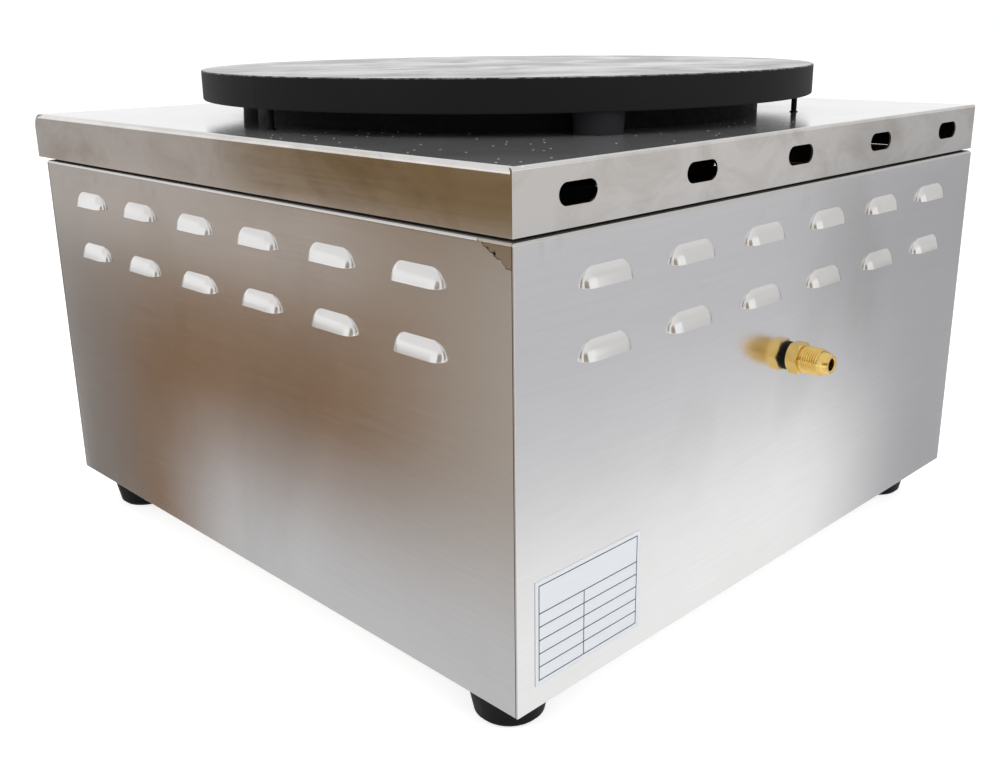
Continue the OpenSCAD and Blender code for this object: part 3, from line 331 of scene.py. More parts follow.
def object_place(tree, stretch):
    """Object coordinates times a scale along each axis, in cycles per metre."""
    place = tree.nodes.new("ShaderNodeTexCoord")
    scale = tree.nodes.new("ShaderNodeMapping")
    scale.inputs["Scale"].default_value = stretch
    tree.links.new(place.outputs["Object"], scale.inputs["Vector"])
    return scale.outputs["Vector"]


def noise(tree, stretch, detail=4.0, roughness=0.55, distortion=0.0):
    """Noise with the given cycles per metre along x, y and z."""
    node = tree.nodes.new("ShaderNodeTexNoise")
    node.inputs["Scale"].default_value = 1.0
    node.inputs["Detail"].default_value = detail
    node.inputs["Roughness"].default_value = roughness
    node.inputs["Distortion"].default_value = distortion
    tree.links.new(object_place(tree, stretch), node.inputs["Vector"])
    return node.outputs["Fac"]


def cells(tree, stretch):
    """Distance in plan from the nearest of scattered points, and a random number for each point."""
    node = tree.nodes.new("ShaderNodeTexVoronoi")
    node.voronoi_dimensions = "2D"
    node.inputs["Scale"].default_value = 1.0
    tree.links.new(object_place(tree, stretch), node.inputs["Vector"])
    split = tree.nodes.new("ShaderNodeSeparateColor")
    tree.links.new(node.outputs["Color"], split.inputs["Color"])
    return node.outputs["Distance"], split.outputs["Red"]


def spread(tree, source, low, high, start=0.3, end=0.7):
    """Maps the stretch from start to end of a pattern onto low to high."""
    node = tree.nodes.new("ShaderNodeMapRange")
    node.inputs["From Min"].default_value = start
    node.inputs["From Max"].default_value = end
    node.inputs["To Min"].default_value = low
    node.inputs["To Max"].default_value = high
    tree.links.new(source, node.inputs["Value"])
    return node.outputs["Result"]


def combine(tree, operation, first, second):
    """Math on a pattern and another pattern or a number."""
    node = tree.nodes.new("ShaderNodeMath")
    node.operation = operation
    tree.links.new(first, node.inputs[0])
    if isinstance(second, (int, float)):
        node.inputs[1].default_value = second
    else:
        tree.links.new(second, node.inputs[1])
    return node.outputs["Value"]


def blend_colours(tree, factor, first, second):
    """Mixes two colours, each a tuple or a pattern's colour, by a factor pattern."""
    node = tree.nodes.new("ShaderNodeMix")
    node.data_type = "RGBA"
    tree.links.new(factor, node.inputs["Factor"])
    for socket, colour in ((node.inputs["A"], first), (node.inputs["B"], second)):
        if isinstance(colour, tuple):
            socket.default_value = (*colour, 1.0)
        else:
            tree.links.new(colour, socket)
    return node.outputs["Result"]


def eased_normal(tree, radius):
    """The surface's normal with its edges rounded off."""
    node = tree.nodes.new("ShaderNodeBevel")
    node.samples = BEVEL_SAMPLES
    node.inputs["Radius"].default_value = radius
    return node.outputs["Normal"]


def relief(tree, shader, layers, edge=EDGE_R):
    """Rounds the edges, then bumps the surface by layers of height pattern and depth in metres."""
    normal = eased_normal(tree, edge)
    for height, depth in layers:
        node = tree.nodes.new("ShaderNodeBump")
        node.inputs["Distance"].default_value = depth
        tree.links.new(height, node.inputs["Height"])
        tree.links.new(normal, node.inputs["Normal"])
        normal = node.outputs["Normal"]
    tree.links.new(normal, shader.inputs["Normal"])


def coordinate(tree, axis):
    """One object coordinate, in metres."""
    place = tree.nodes.new("ShaderNodeTexCoord")
    split = tree.nodes.new("ShaderNodeSeparateXYZ")
    tree.links.new(place.outputs["Object"], split.inputs["Vector"])
    return split.outputs[axis]


def off_middle(tree, axis):
    """Distance from the object's middle along an axis, in metres."""
    return combine(tree, "ABSOLUTE", coordinate(tree, axis), 0.0)


def facing_up(tree):
    """How far the surface faces up, from its own true normal."""
    geometry = tree.nodes.new("ShaderNodeNewGeometry")
    split = tree.nodes.new("ShaderNodeSeparateXYZ")
    tree.links.new(geometry.outputs["True Normal"], split.inputs["Vector"])
    return split.outputs["Z"]


def facing_in(tree, middle):
    """One where the surface faces a point, nought where it faces away from it."""
    geometry = tree.nodes.new("ShaderNodeNewGeometry")
    place = tree.nodes.new("ShaderNodeTexCoord")
    away = tree.nodes.new("ShaderNodeVectorMath")
    away.operation = "SUBTRACT"
    away.inputs[1].default_value = middle
    tree.links.new(place.outputs["Object"], away.inputs[0])
    lean = tree.nodes.new("ShaderNodeVectorMath")
    lean.operation = "DOT_PRODUCT"
    tree.links.new(away.outputs["Vector"], lean.inputs[0])
    tree.links.new(geometry.outputs["True Normal"], lean.inputs[1])
    return combine(tree, "LESS_THAN", lean.outputs["Value"], 0.0)


def choose(tree, factor, first, second):
    """Mixes two patterns or numbers by a factor pattern."""
    node = tree.nodes.new("ShaderNodeMix")
    tree.links.new(factor, node.inputs["Factor"])
    for socket, value in ((node.inputs["A"], first), (node.inputs["B"], second)):
        if isinstance(value, (int, float)):
            socket.default_value = value
        else:
            tree.links.new(value, socket)
    return node.outputs["Result"]


def level_tangent(tree, shader):
    """Lays the gloss of brushed metal across scratches that run level round the object."""
    tangent = tree.nodes.new("ShaderNodeTangent")
    tangent.direction_type = "RADIAL"
    tangent.axis = "Z"
    tree.links.new(tangent.outputs["Tangent"], shader.inputs["Tangent"])


# Finishes

def brushed_steel():
    """Stainless wall sheet: level brushing, faint stains, a scrap of film, dark seams, painted shade on the
    top bend and a flange painted black as shade.
    """
    material, tree, shader = new_material("brushed_steel_sheet")
    set_inputs(shader, Anisotropic=0.35, Anisotropic_Rotation=0.25)
    level_tangent(tree, shader)
    scratches = noise(tree, WALL_SCRATCHES, detail=1)
    grain = noise(tree, WALL_GRAIN, detail=2)
    smears = noise(tree, WALL_SMEARS, detail=3)
    grain_tone = spread(tree, grain, *WALL_GRAIN_TONE)
    tone = combine(tree, "ADD", grain_tone, spread(tree, smears, *WALL_SMEAR_TONE))
    sheet = blend_colours(tree, tone, SHEET_DARK, SHEET_LIGHT)
    stain = spread(tree, noise(tree, WALL_STAINS, roughness=0.5, distortion=0.3), *WALL_STAIN_TINT)
    stained = blend_colours(tree, stain, sheet, STAIN_BROWN)
    drips = spread(tree, noise(tree, WALL_DRIPS, detail=3), *WALL_DRIP_TINT)
    band = spread(tree, coordinate(tree, "Z"), 0, 1, WALL_TOP - GRIME_H, WALL_TOP - GRIME_H / 2)
    grimy = blend_colours(tree, combine(tree, "MULTIPLY", drips, band), stained, DRIP_BROWN)
    off_film = film_edge(tree)
    filmed = blend_colours(tree, combine(tree, "LESS_THAN", off_film, 0.0), grimy, FILM_BEIGE)
    rim = combine(tree, "LESS_THAN", combine(tree, "ABSOLUTE", off_film, 0.0), FILM_EDGE_HALF)
    seam = combine(tree, "MAXIMUM", rim, combine(tree, "LESS_THAN", off_seam(tree), SEAM_HALF))
    walled = blend_colours(tree, seam, filmed, SEAM_AND_SHADE_BLACK)
    # Painted shade: the walls' top bend is greyed where it sits under the cover's edge
    bend_ends = (WALL_TOP - WALL_BEND, WALL_TOP - WALL_BEND / 2)
    bend_shade = spread(tree, coordinate(tree, "Z"), *WALL_BEND_SHADE, *bend_ends)
    bend_shaded = blend_colours(tree, bend_shade, walled, BEND_SHADE_GREY)
    # Painted shade: the flange that faces up is made black, dull and not metallic, for the dark inside of
    # the case
    flange_shade = spread(tree, facing_up(tree), 0, 1, *SHADED_FLANGE_TILT)
    tree.links.new(blend_colours(tree, flange_shade, bend_shaded, SEAM_AND_SHADE_BLACK), shader.inputs["Base Color"])
    tree.links.new(spread(tree, flange_shade, 1, 0, 0, 1), shader.inputs["Metallic"])
    scratch_gloss = spread(tree, scratches, *WALL_SCRATCH_GLOSS)
    gloss = combine(tree, "ADD", scratch_gloss, spread(tree, smears, *WALL_SMEAR_GLOSS))
    dull = combine(tree, "MULTIPLY", flange_shade, SHADED_FLANGE_DULL)
    tree.links.new(combine(tree, "ADD", gloss, dull), shader.inputs["Roughness"])
    relief(tree, shader, [(scratches, SCRATCH_DEPTH)], edge=SHEET_EDGE_R)
    return material


def film_edge(tree):
    """Drop below a ragged scrap of film at the right side's top rear corner, under nought on the film."""
    below_top = combine(tree, "SUBTRACT", coordinate(tree, "Z"), WALL_TOP)
    along = combine(tree, "SUBTRACT", coordinate(tree, "Y"), SEAM_Y - FILM_LEN)
    reach = combine(tree, "MULTIPLY", along, FILM_SLOPE)
    ragged = spread(tree, noise(tree, FILM_TEARS, detail=2), -FILM_RAGGED, FILM_RAGGED)
    height = combine(tree, "ADD", combine(tree, "ADD", below_top, reach), ragged)
    other_wall = combine(tree, "LESS_THAN", coordinate(tree, "X"), wall_x - SHEET_T / 2)
    past_seam = combine(tree, "GREATER_THAN", coordinate(tree, "Y"), SEAM_Y)
    elsewhere = combine(tree, "MAXIMUM", other_wall, past_seam)
    return combine(tree, "SUBTRACT", elsewhere, height)


def off_seam(tree):
    """Distance from where the side walls butt against the front and rear walls."""
    past = combine(tree, "SUBTRACT", off_middle(tree, "Y"), SEAM_Y)
    return combine(tree, "ABSOLUTE", past, 0.0)


def mirror_steel():
    """Bright cover sheet: a wavy mirror on top with dust, finely brushed skirts, and inward faces painted
    black and dull as shade.
    """
    material, tree, shader = new_material("bright_cover_sheet")
    low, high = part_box("top_cover")
    scratches = noise(tree, COVER_SCRATCHES, detail=1)
    smears = noise(tree, COVER_SMEARS, detail=6, distortion=0.8)
    waves = noise(tree, COVER_WAVES, detail=1)
    top = spread(tree, facing_up(tree), 0, 1, *COVER_TOP_TILT)
    scratch_gloss = spread(tree, scratches, *SKIRT_SCRATCH_GLOSS)
    skirt_gloss = combine(tree, "ADD", scratch_gloss, spread(tree, smears, *SKIRT_SMEAR_GLOSS))
    gloss = choose(tree, top, skirt_gloss, spread(tree, smears, *COVER_TOP_GLOSS))
    distance, pick = cells(tree, COVER_DUST)
    speck = combine(tree, "LESS_THAN", distance, DUST_SHARE)
    chosen = combine(tree, "GREATER_THAN", pick, DUST_PICK)
    dust = combine(tree, "MULTIPLY", combine(tree, "MULTIPLY", speck, chosen), top)
    clouds = noise(tree, COVER_CLOUDS, detail=7, roughness=0.6, distortion=0.7)
    clouded = spread(tree, clouds, *SKIRT_CLOUD_TINT)
    skirt = blend_colours(tree, clouded, SKIRT_CLEAN, SKIRT_DULL)
    mirror = blend_colours(tree, smears, MIRROR_DARK, MIRROR_LIGHT)
    dusty = blend_colours(tree, dust, blend_colours(tree, top, skirt, mirror), DUST_GREY)
    outer = combine(tree, "GREATER_THAN", off_middle(tree, "X"), high.x - COVER_BEND)
    upper = combine(tree, "GREATER_THAN", coordinate(tree, "Z"), high.z - COVER_BEND)
    corner = combine(tree, "MULTIPLY", outer, upper)
    # Painted shade: faces turned to the cover's middle, apart from the outer top bends, are black, dull and
    # not metallic
    inside_shade = combine(tree, "GREATER_THAN", facing_in(tree, (low + high) / 2), corner)
    tree.links.new(blend_colours(tree, inside_shade, dusty, INSIDE_SHADE_BLACK), shader.inputs["Base Color"])
    film = choose(tree, top, 1.0, COVER_TOP_METAL)
    dust_and_shade = combine(tree, "MAXIMUM", dust, inside_shade)
    tree.links.new(combine(tree, "SUBTRACT", film, dust_and_shade), shader.inputs["Metallic"])
    dusty_dull = spread(tree, dust, 0, DUST_DULL, 0, 1)
    dull = combine(tree, "ADD", dusty_dull, spread(tree, inside_shade, 0, INSIDE_SHADE_DULL, 0, 1))
    tree.links.new(combine(tree, "ADD", gloss, dull), shader.inputs["Roughness"])
    relief(tree, shader, [(waves, WAVE_DEPTH), (scratches, SCRATCH_DEPTH)], edge=SHEET_EDGE_R)
    return material


def plain_steel():
    """Mill-finish sheet for what is inside and underneath: rolled streaks and dull patches."""
    material, tree, shader = new_material("mill_finish_sheet")
    set_inputs(shader, Metallic=1.0)
    rolled = noise(tree, MILL_STREAKS, detail=3)
    patches = noise(tree, MILL_PATCHES, detail=5)
    colour = blend_colours(tree, patches, MILL_DARK, MILL_LIGHT)
    tree.links.new(colour, shader.inputs["Base Color"])
    streak_gloss = spread(tree, rolled, *MILL_STREAK_GLOSS)
    gloss = combine(tree, "ADD", streak_gloss, spread(tree, patches, *MILL_PATCH_GLOSS))
    tree.links.new(gloss, shader.inputs["Roughness"])
    relief(tree, shader, [(rolled, SCRATCH_DEPTH)])
    return material


def mottled(name, dark, light, tint, gloss, grain, depth, gloss_from_grain=False, **sockets):
    """A plain finish: two tones and a gloss that follow one noise, and the relief of another.

    Tint and grain each give a noise's cycles per metre and its detail. The gloss may follow the grain.
    """
    material, tree, shader = new_material(name)
    set_inputs(shader, **sockets)
    tones = noise(tree, (tint[0], tint[0], tint[0]), detail=tint[1])
    skin = noise(tree, (grain[0], grain[0], grain[0]), detail=grain[1])
    tree.links.new(blend_colours(tree, tones, dark, light), shader.inputs["Base Color"])
    followed = skin if gloss_from_grain else tones
    tree.links.new(spread(tree, followed, *gloss), shader.inputs["Roughness"])
    relief(tree, shader, [(skin, depth)])
    return material


def moulded(name, dark, light, gloss, grain, depth, shine=0.5):
    """A moulded plastic or rubber: two close tones, a fine skin texture and uneven gloss."""
    return mottled(
        name, dark, light, tint=(45, 5), gloss=gloss, grain=(grain, 3), depth=depth,
        Specular_IOR_Level=shine,
    )


def griddle_iron():
    """Cooking plate: black cast iron, an oily mottled face, a thin worn top edge painted light grey that is
    also a painted glint, sooty legs.
    """
    material, tree, shader = new_material("griddle_iron")
    set_inputs(shader, Specular_IOR_Level=0.12)
    grain = noise(tree, PLATE_GRAIN, detail=5)
    oil = noise(tree, PLATE_OIL, detail=7, roughness=0.6, distortion=0.5)
    bare = noise(tree, PLATE_BARE, detail=3)
    tilt = facing_up(tree)
    face = spread(tree, tilt, 0, 1, *PLATE_FACE_TILT)
    tilted = spread(tree, tilt, 0, 1, *PLATE_EDGE_TILT)
    # Worn top edge painted light grey: partly wear, partly a painted glint
    edge = combine(tree, "MULTIPLY", tilted, spread(tree, tilt, 1, 0, *PLATE_FACE_TILT))
    worn_glint = combine(tree, "MULTIPLY", edge, spread(tree, bare, *PLATE_BARE_TINT))
    rim_colour = blend_colours(tree, oil, RIM_DARK, RIM_LIGHT)
    face_colour = blend_colours(tree, oil, FACE_DARK, FACE_LIGHT)
    iron = blend_colours(tree, worn_glint, blend_colours(tree, face, rim_colour, face_colour), BARE_IRON_GLINT)
    plate_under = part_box("crepe_plate")[1].z - PLATE_T
    below = combine(tree, "LESS_THAN", coordinate(tree, "Z"), plate_under + LEG_SKIN)
    tree.links.new(blend_colours(tree, below, iron, LEG_SOOT), shader.inputs["Base Color"])
    tree.links.new(face, shader.inputs["Metallic"])
    face_gloss = spread(tree, oil, *PLATE_FACE_GLOSS)
    gloss = choose(tree, face, spread(tree, grain, *PLATE_RIM_GLOSS), face_gloss)
    sooty = combine(tree, "MULTIPLY", below, SOOT_DULL)
    tree.links.new(combine(tree, "ADD", gloss, sooty), shader.inputs["Roughness"])
    relief(tree, shader, [(oil, OIL_DEPTH), (grain, GRAIN_DEPTH)], edge=PLATE_EDGE_R)
    return material


def turned_brass():
    """Machined brass: yellow, with turning marks and a little tarnish."""
    material, tree, shader = new_material("turned_brass")
    set_inputs(shader, Metallic=1.0)
    turning = noise(tree, BRASS_TURNING, detail=2)
    tarnish = noise(tree, BRASS_TARNISH, detail=4)
    tree.links.new(blend_colours(tree, tarnish, BRASS_DARK, BRASS_LIGHT), shader.inputs["Base Color"])
    turning_gloss = spread(tree, turning, *BRASS_TURNING_GLOSS)
    gloss = combine(tree, "ADD", turning_gloss, spread(tree, tarnish, *BRASS_TARNISH_GLOSS))
    tree.links.new(gloss, shader.inputs["Roughness"])
    relief(tree, shader, [(turning, TURNING_DEPTH)], edge=BRASS_EDGE_R)
    return material


finishes = {
    "brushed_steel": brushed_steel(),
    "mirror_steel": mirror_steel(),
    "plain_steel": plain_steel(),
    # Steel by the flame, for the collar and pins under the plate: sooty black scale with brown heat tints,
    # kept near-black as painted shade
    "blackened_steel": mottled(
        "blackened_steel", dark=(0.003, 0.003, 0.0032), light=(0.009, 0.0078, 0.007), tint=(40, 4),
        gloss=(0.6, 0.78), grain=(300, 5), depth=0.00003, gloss_from_grain=True, Specular_IOR_Level=0.15,
    ),
    # Plated fasteners and springs: bright, with a faint cloudy bloom
    "zinc_steel": mottled(
        "zinc_plate", dark=(0.56, 0.57, 0.58), light=(0.74, 0.74, 0.735), tint=(420, 4),
        gloss=(0.2, 0.36), grain=(420, 4), depth=0.000006, Metallic=1.0,
    ),
    # Burner castings: sooty grey-black with a sand-cast grain
    "cast_iron": mottled(
        "sand_cast_iron", dark=(0.026, 0.025, 0.025), light=(0.062, 0.058, 0.055), tint=(35, 5),
        gloss=(0.5, 0.72), grain=(900, 5), depth=0.00018, gloss_from_grain=True,
    ),
    "brass": turned_brass(),
    # Soft copper tube with darker oxide clouds
    "copper": mottled(
        "copper_tube", dark=(0.46, 0.2, 0.11), light=(0.83, 0.46, 0.31), tint=(70, 5),
        gloss=(0.38, 0.2), grain=(70, 5), depth=0.00002, Metallic=1.0,
    ),
    "black_rubber": moulded(
        "moulded_rubber", dark=(0.004, 0.004, 0.0045), light=(0.009, 0.009, 0.0095),
        gloss=(0.45, 0.6), grain=1500, depth=0.00003, shine=0.12,
    ),
    "black_plastic": moulded(
        "heat_proof_plastic", dark=(0.01, 0.01, 0.0105), light=(0.02, 0.02, 0.021),
        gloss=(0.3, 0.42), grain=2200, depth=0.00002,
    ),
    "red_plastic": moulded(
        "red_button_plastic", dark=(0.36, 0.012, 0.01), light=(0.47, 0.02, 0.016),
        gloss=(0.22, 0.3), grain=2600, depth=0.000005,
    ),
    "white_plastic": moulded(
        "white_inlay", dark=(0.74, 0.74, 0.72), light=(0.84, 0.84, 0.82),
        gloss=(0.35, 0.45), grain=2600, depth=0.000005,
    ),
    "dial_print": moulded(
        "dial_enamel", dark=(0.03, 0.03, 0.032), light=(0.05, 0.05, 0.053),
        gloss=(0.28, 0.4), grain=2600, depth=0.000005,
    ),
    "lead_sleeve": moulded(
        "silicone_sleeve", dark=(0.2, 0.03, 0.025), light=(0.3, 0.06, 0.05),
        gloss=(0.45, 0.6), grain=1800, depth=0.000015,
    ),
    # White insulator with a clear glaze
    "white_ceramic": mottled(
        "glazed_ceramic", dark=(0.74, 0.72, 0.66), light=(0.85, 0.84, 0.8), tint=(260, 4),
        gloss=(0.2, 0.32), grain=(260, 4), depth=0.00001, Coat_Weight=0.6, Coat_Roughness=0.06,
    ),
    "label_white": moulded(
        "label_film", dark=(0.8, 0.83, 0.88), light=(0.84, 0.87, 0.915),
        gloss=(0.3, 0.42), grain=700, depth=0.0000075,
    ),
}
own_finishes = {"crepe_plate": griddle_iron()}

for node_name, node in nodes.items():
    slot_name = node.data.materials[0].name
    node.data.materials[0] = own_finishes.get(node_name, finishes[slot_name])

# Black print of the label
label_ink = moulded(
    "label_ink", dark=(0.012, 0.012, 0.012), light=(0.02, 0.02, 0.02),
    gloss=(0.4, 0.5), grain=2600, depth=0.000005,
)


def ringed_piece(name, rings, capped, body, slot, node_name):
    """A piece skinned over rings that stands for a CAD node."""
    bm = bmesh.new()
    skin_rings(bm, rings, capped)
    piece = add_mesh(name, bm, finishes[slot], body)
    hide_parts(node_name)
    return piece


# Gas union with its cut thread

def union_rings():
    """Rings round the union's axis, from its tail's bore, over the outside, into its nose's bore."""
    low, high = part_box("inlet_fitting")
    hex_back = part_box("inlet_washer")[1].y
    mount = next(m for m in frame["record"]["mounts"] if m["name"] == "gas_inlet")
    thread_r = mount["dims"]["r_mm"] * MILLIMETRE
    thread_front = high.y - NOSE_LEN
    hex_front = thread_front - mount["dims"]["length_mm"] * MILLIMETRE
    axis_x = (low.x + high.x) / 2
    axis_z = (low.z + high.z) / 2
    hex_flats = high.z - low.z
    angles = [math.tau * i / TURN_STEPS for i in range(TURN_STEPS)]

    def ring(y_of, r_of):
        return [(axis_x + r_of(a) * math.cos(a), y_of(a), axis_z + r_of(a) * math.sin(a)) for a in angles]

    def round_ring(y, r):
        return ring(lambda a: y, lambda a: r)

    def hex_r(a):
        return hex_flats / 2 / math.cos((a % (math.pi / 3)) - math.pi / 6)

    face_r = hex_flats / 2 * HEX_FACE_SHARE

    def chamfer(a):
        return max(0.0, hex_r(a) - face_r) * HEX_CHAMFER_SLOPE

    thread_len = thread_front - hex_front
    steps = round(thread_len / THREAD_PITCH * THREAD_STEPS)

    def thread_ring(step):
        along = step / steps * thread_len
        fade = min(1.0, along / THREAD_PITCH, (thread_len - along) / THREAD_PITCH)

        def groove(a):
            phase = (along / THREAD_PITCH - a / math.tau) % 1.0
            return thread_r - THREAD_DEPTH * (1 - fade * (1 - abs(2 * phase - 1)))

        return ring(lambda a: hex_front + along, groove)

    return [
        round_ring(low.y, BORE_R),
        round_ring(low.y, TAIL_THREAD_R),
        round_ring(low.y + TAIL_THREAD_LEN, TAIL_THREAD_R),
        round_ring(low.y + TAIL_THREAD_LEN, NECK_R),
        round_ring(hex_back, NECK_R),
        round_ring(hex_back, face_r),
        ring(lambda a: hex_back + chamfer(a), hex_r),
        ring(lambda a: hex_front - chamfer(a), hex_r),
        round_ring(hex_front, face_r),
        *[thread_ring(step) for step in range(steps + 1)],
        round_ring(thread_front + NOSE_EASE, thread_r - THREAD_DEPTH),
        round_ring(high.y - NOSE_EASE, NOSE_R + NOSE_EASE),
        round_ring(high.y, NOSE_R),
        round_ring(high.y, BORE_R + BORE_CHAMFER),
        round_ring(high.y - BORE_CHAMFER, BORE_R),
    ]


ringed_piece("gas_union", union_rings(), False, "base", "brass", "inlet_fitting")


# Louvre hoods: a sloping face with a rounded top, rounded cheeks and a rolled lip

def hood_out(up):
    """How far the middle of a hood stands out at a height above its lip."""
    share = up / HOOD_TOP
    slope = HOOD_OUT + (HOOD_STEP - HOOD_OUT) * share
    return slope * (1 - share ** HOOD_BLUNT)


def add_hood(bm, place):
    """Adds one hood, where place turns along, out and up from the lip's middle into a point."""
    reach = hood_out(0)
    rows = [
        (LIP_T, HOOD_END - LIP_T, reach - LIP_T),
        (-LIP_DROP, HOOD_END - LIP_T, reach - LIP_T),
        (-LIP_DROP, HOOD_END - LIP_ROLL, reach - LIP_ROLL),
        (0.0, HOOD_END, reach),
    ]
    for step in range(1, HOOD_ROWS + 1):
        turn = math.pi / 2 * step / HOOD_ROWS
        up = HOOD_TOP * math.sin(turn)
        rows.append((up, HOOD_END * math.cos(turn), hood_out(up)))
    turns = [math.pi / 2 * step / HOOD_END_STEPS for step in range(HOOD_END_STEPS + 1)]
    cheeks = [(-1, turn) for turn in reversed(turns)] + [(1, turn) for turn in turns]
    grid = []
    for up, end, out in rows:
        grid.append([
            bm.verts.new(place(side * (HOOD_FLAT_HALF + end * math.sin(turn)), out * math.cos(turn), up))
            for side, turn in cheeks
        ])
    for low, high in zip(grid, grid[1:]):
        for i in range(len(cheeks) - 1):
            bm.faces.new((low[i], low[i + 1], high[i + 1], high[i]))


def louvres(name, place):
    """The hoods of one wall, where place turns along, out and height into a point."""
    bm = bmesh.new()
    for row in range(LOUVRE_ROWS):
        lip = WALL_TOP - LOUVRE_DROP - row * LOUVRE_ROW_PITCH
        for i in range(LOUVRE_COUNT):
            middle = (i - (LOUVRE_COUNT - 1) / 2) * LOUVRE_PITCH
            add_hood(bm, lambda along, out, up: place(middle + along, out, lip + up))
    bmesh.ops.remove_doubles(bm, verts=bm.verts, dist=MERGE_DIST)
    add_mesh(name, bm, finishes["brushed_steel"], "base")


louvres("right_louvres", lambda along, out, up: (wall_x + out, along, up))
louvres("left_louvres", lambda along, out, up: (-wall_x - out, along, up))
louvres("rear_louvres", lambda along, out, up: (along, wall_y + out, up))


# Control knob with a fluted skirt and a thumb grip, all edges rounded

def quarter_round(radius, steps=4):
    """Pairs of inset and drop round a convex edge, from the wall to the face."""
    turns = [math.pi / 2 * i / steps for i in range(steps + 1)]
    return [(radius * (1 - math.cos(t)), radius * (1 - math.sin(t))) for t in turns]


def knob_rings():
    """Rings round the knob's axis, from its bore's end, over the recess and skirt, to the grip's face."""
    low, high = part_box("control_knob")
    nut_low, nut_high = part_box("valve_nut")
    axis_z = (low.z + high.z) / 2
    knob_r = (high.x - low.x) / 2
    recess_r = max(nut_high.x - nut_low.x, nut_high.z - nut_low.z) / 2 + NUT_ROOM
    recess_y = high.y - KNOB_RECESS
    skirt_y = high.y - KNOB_SKIRT
    face_y = low.y + INLAY_PROUD
    angles = [math.tau * i / TURN_STEPS for i in range(TURN_STEPS)]

    def ring(y, r_of):
        return [(r_of(a) * math.cos(a), y, axis_z + r_of(a) * math.sin(a)) for a in angles]

    def skirt_ring(y, inset, flute):
        taper = KNOB_TAPER * (high.y - y) / KNOB_SKIRT
        return ring(y, lambda a: knob_r - taper - inset - flute * (1 + math.cos(KNOB_FLUTES * a)) / 2)

    def grip_ring(y, grow):
        half_w = GRIP_W / 2 + grow
        end_r = knob_r - GRIP_INSET + grow
        return ring(y, lambda a: min(end_r, half_w / max(abs(math.cos(a)), half_w / end_r)))

    edge = quarter_round(KNOB_EDGE_R)
    skirt_edge = [skirt_ring(skirt_y + drop, inset, FLUTE_DEPTH / 2) for inset, drop in edge]
    foot = [grip_ring(skirt_y - lift, grow - GRIP_INSET) for lift, grow in quarter_round(GRIP_FILLET)]
    top = [grip_ring(face_y + drop, -inset - GRIP_DRAFT) for inset, drop in edge]
    return [
        ring(low.y + KNOB_BORE_WALL, lambda a: KNOB_BORE_R),
        ring(recess_y, lambda a: KNOB_BORE_R),
        ring(recess_y, lambda a: recess_r),
        ring(high.y, lambda a: recess_r),
        skirt_ring(high.y, FLUTE_DEPTH, 0.0),
        skirt_ring(high.y - FLUTE_DEPTH, 0.0, 0.0),
        skirt_ring(high.y - KNOB_EDGE_R, 0.0, FLUTE_DEPTH),
        skirt_ring(skirt_y + 2 * KNOB_EDGE_R, 0.0, FLUTE_DEPTH),
        *skirt_edge,
        *foot,
        *top,
    ]


ringed_piece("thumb_knob", knob_rings(), True, "knob", "black_plastic", "control_knob")


# Coil springs behind the knob and the igniter button

def coil_spring(name, node_name, wire_d, turns):
    """A spring of the size of its CAD node."""
    low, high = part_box(node_name)
    length = high.y - low.y
    middle = (low + high) / 2
    wire_r = wire_d / 2
    coil_r = (high.x - low.x) / 2 - wire_r
    sides = [math.tau * i / WIRE_SIDES for i in range(WIRE_SIDES)]
    steps = turns * COIL_STEPS
    rings = []
    for step in range(steps + 1):
        turn = math.tau * step / COIL_STEPS
        along = low.y + wire_r + (length - wire_d) * step / steps
        rings.append([
            (
                middle.x + (coil_r + wire_r * math.cos(side)) * math.cos(turn),
                along + wire_r * math.sin(side),
                middle.z + (coil_r + wire_r * math.cos(side)) * math.sin(turn),
            )
            for side in sides
        ])
    piece = ringed_piece(name, rings, True, "base", "zinc_steel", node_name)
    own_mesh(piece)


coil_spring("valve_coil", "valve_spring", VALVE_WIRE_D, VALVE_TURNS)
coil_spring("igniter_coil", "igniter_spring", IGNITER_WIRE_D, IGNITER_TURNS)


# Print on the dial: off dot at the top, flames, a wedge that thins from full to low, ticks at the edge

def add_print(bm, outline, back_y):
    """Adds a thin raised shape on the dial from its outline in the dial's plane."""
    front = [bm.verts.new((x, back_y - PRINT_T, z)) for x, z in outline]
    back = [bm.verts.new((x, back_y, z)) for x, z in outline]
    bm.faces.new(front)
    bm.faces.new(reversed(back))
    for i in range(len(outline)):
        j = (i + 1) % len(outline)
        bm.faces.new((front[i], back[i], back[j], front[j]))


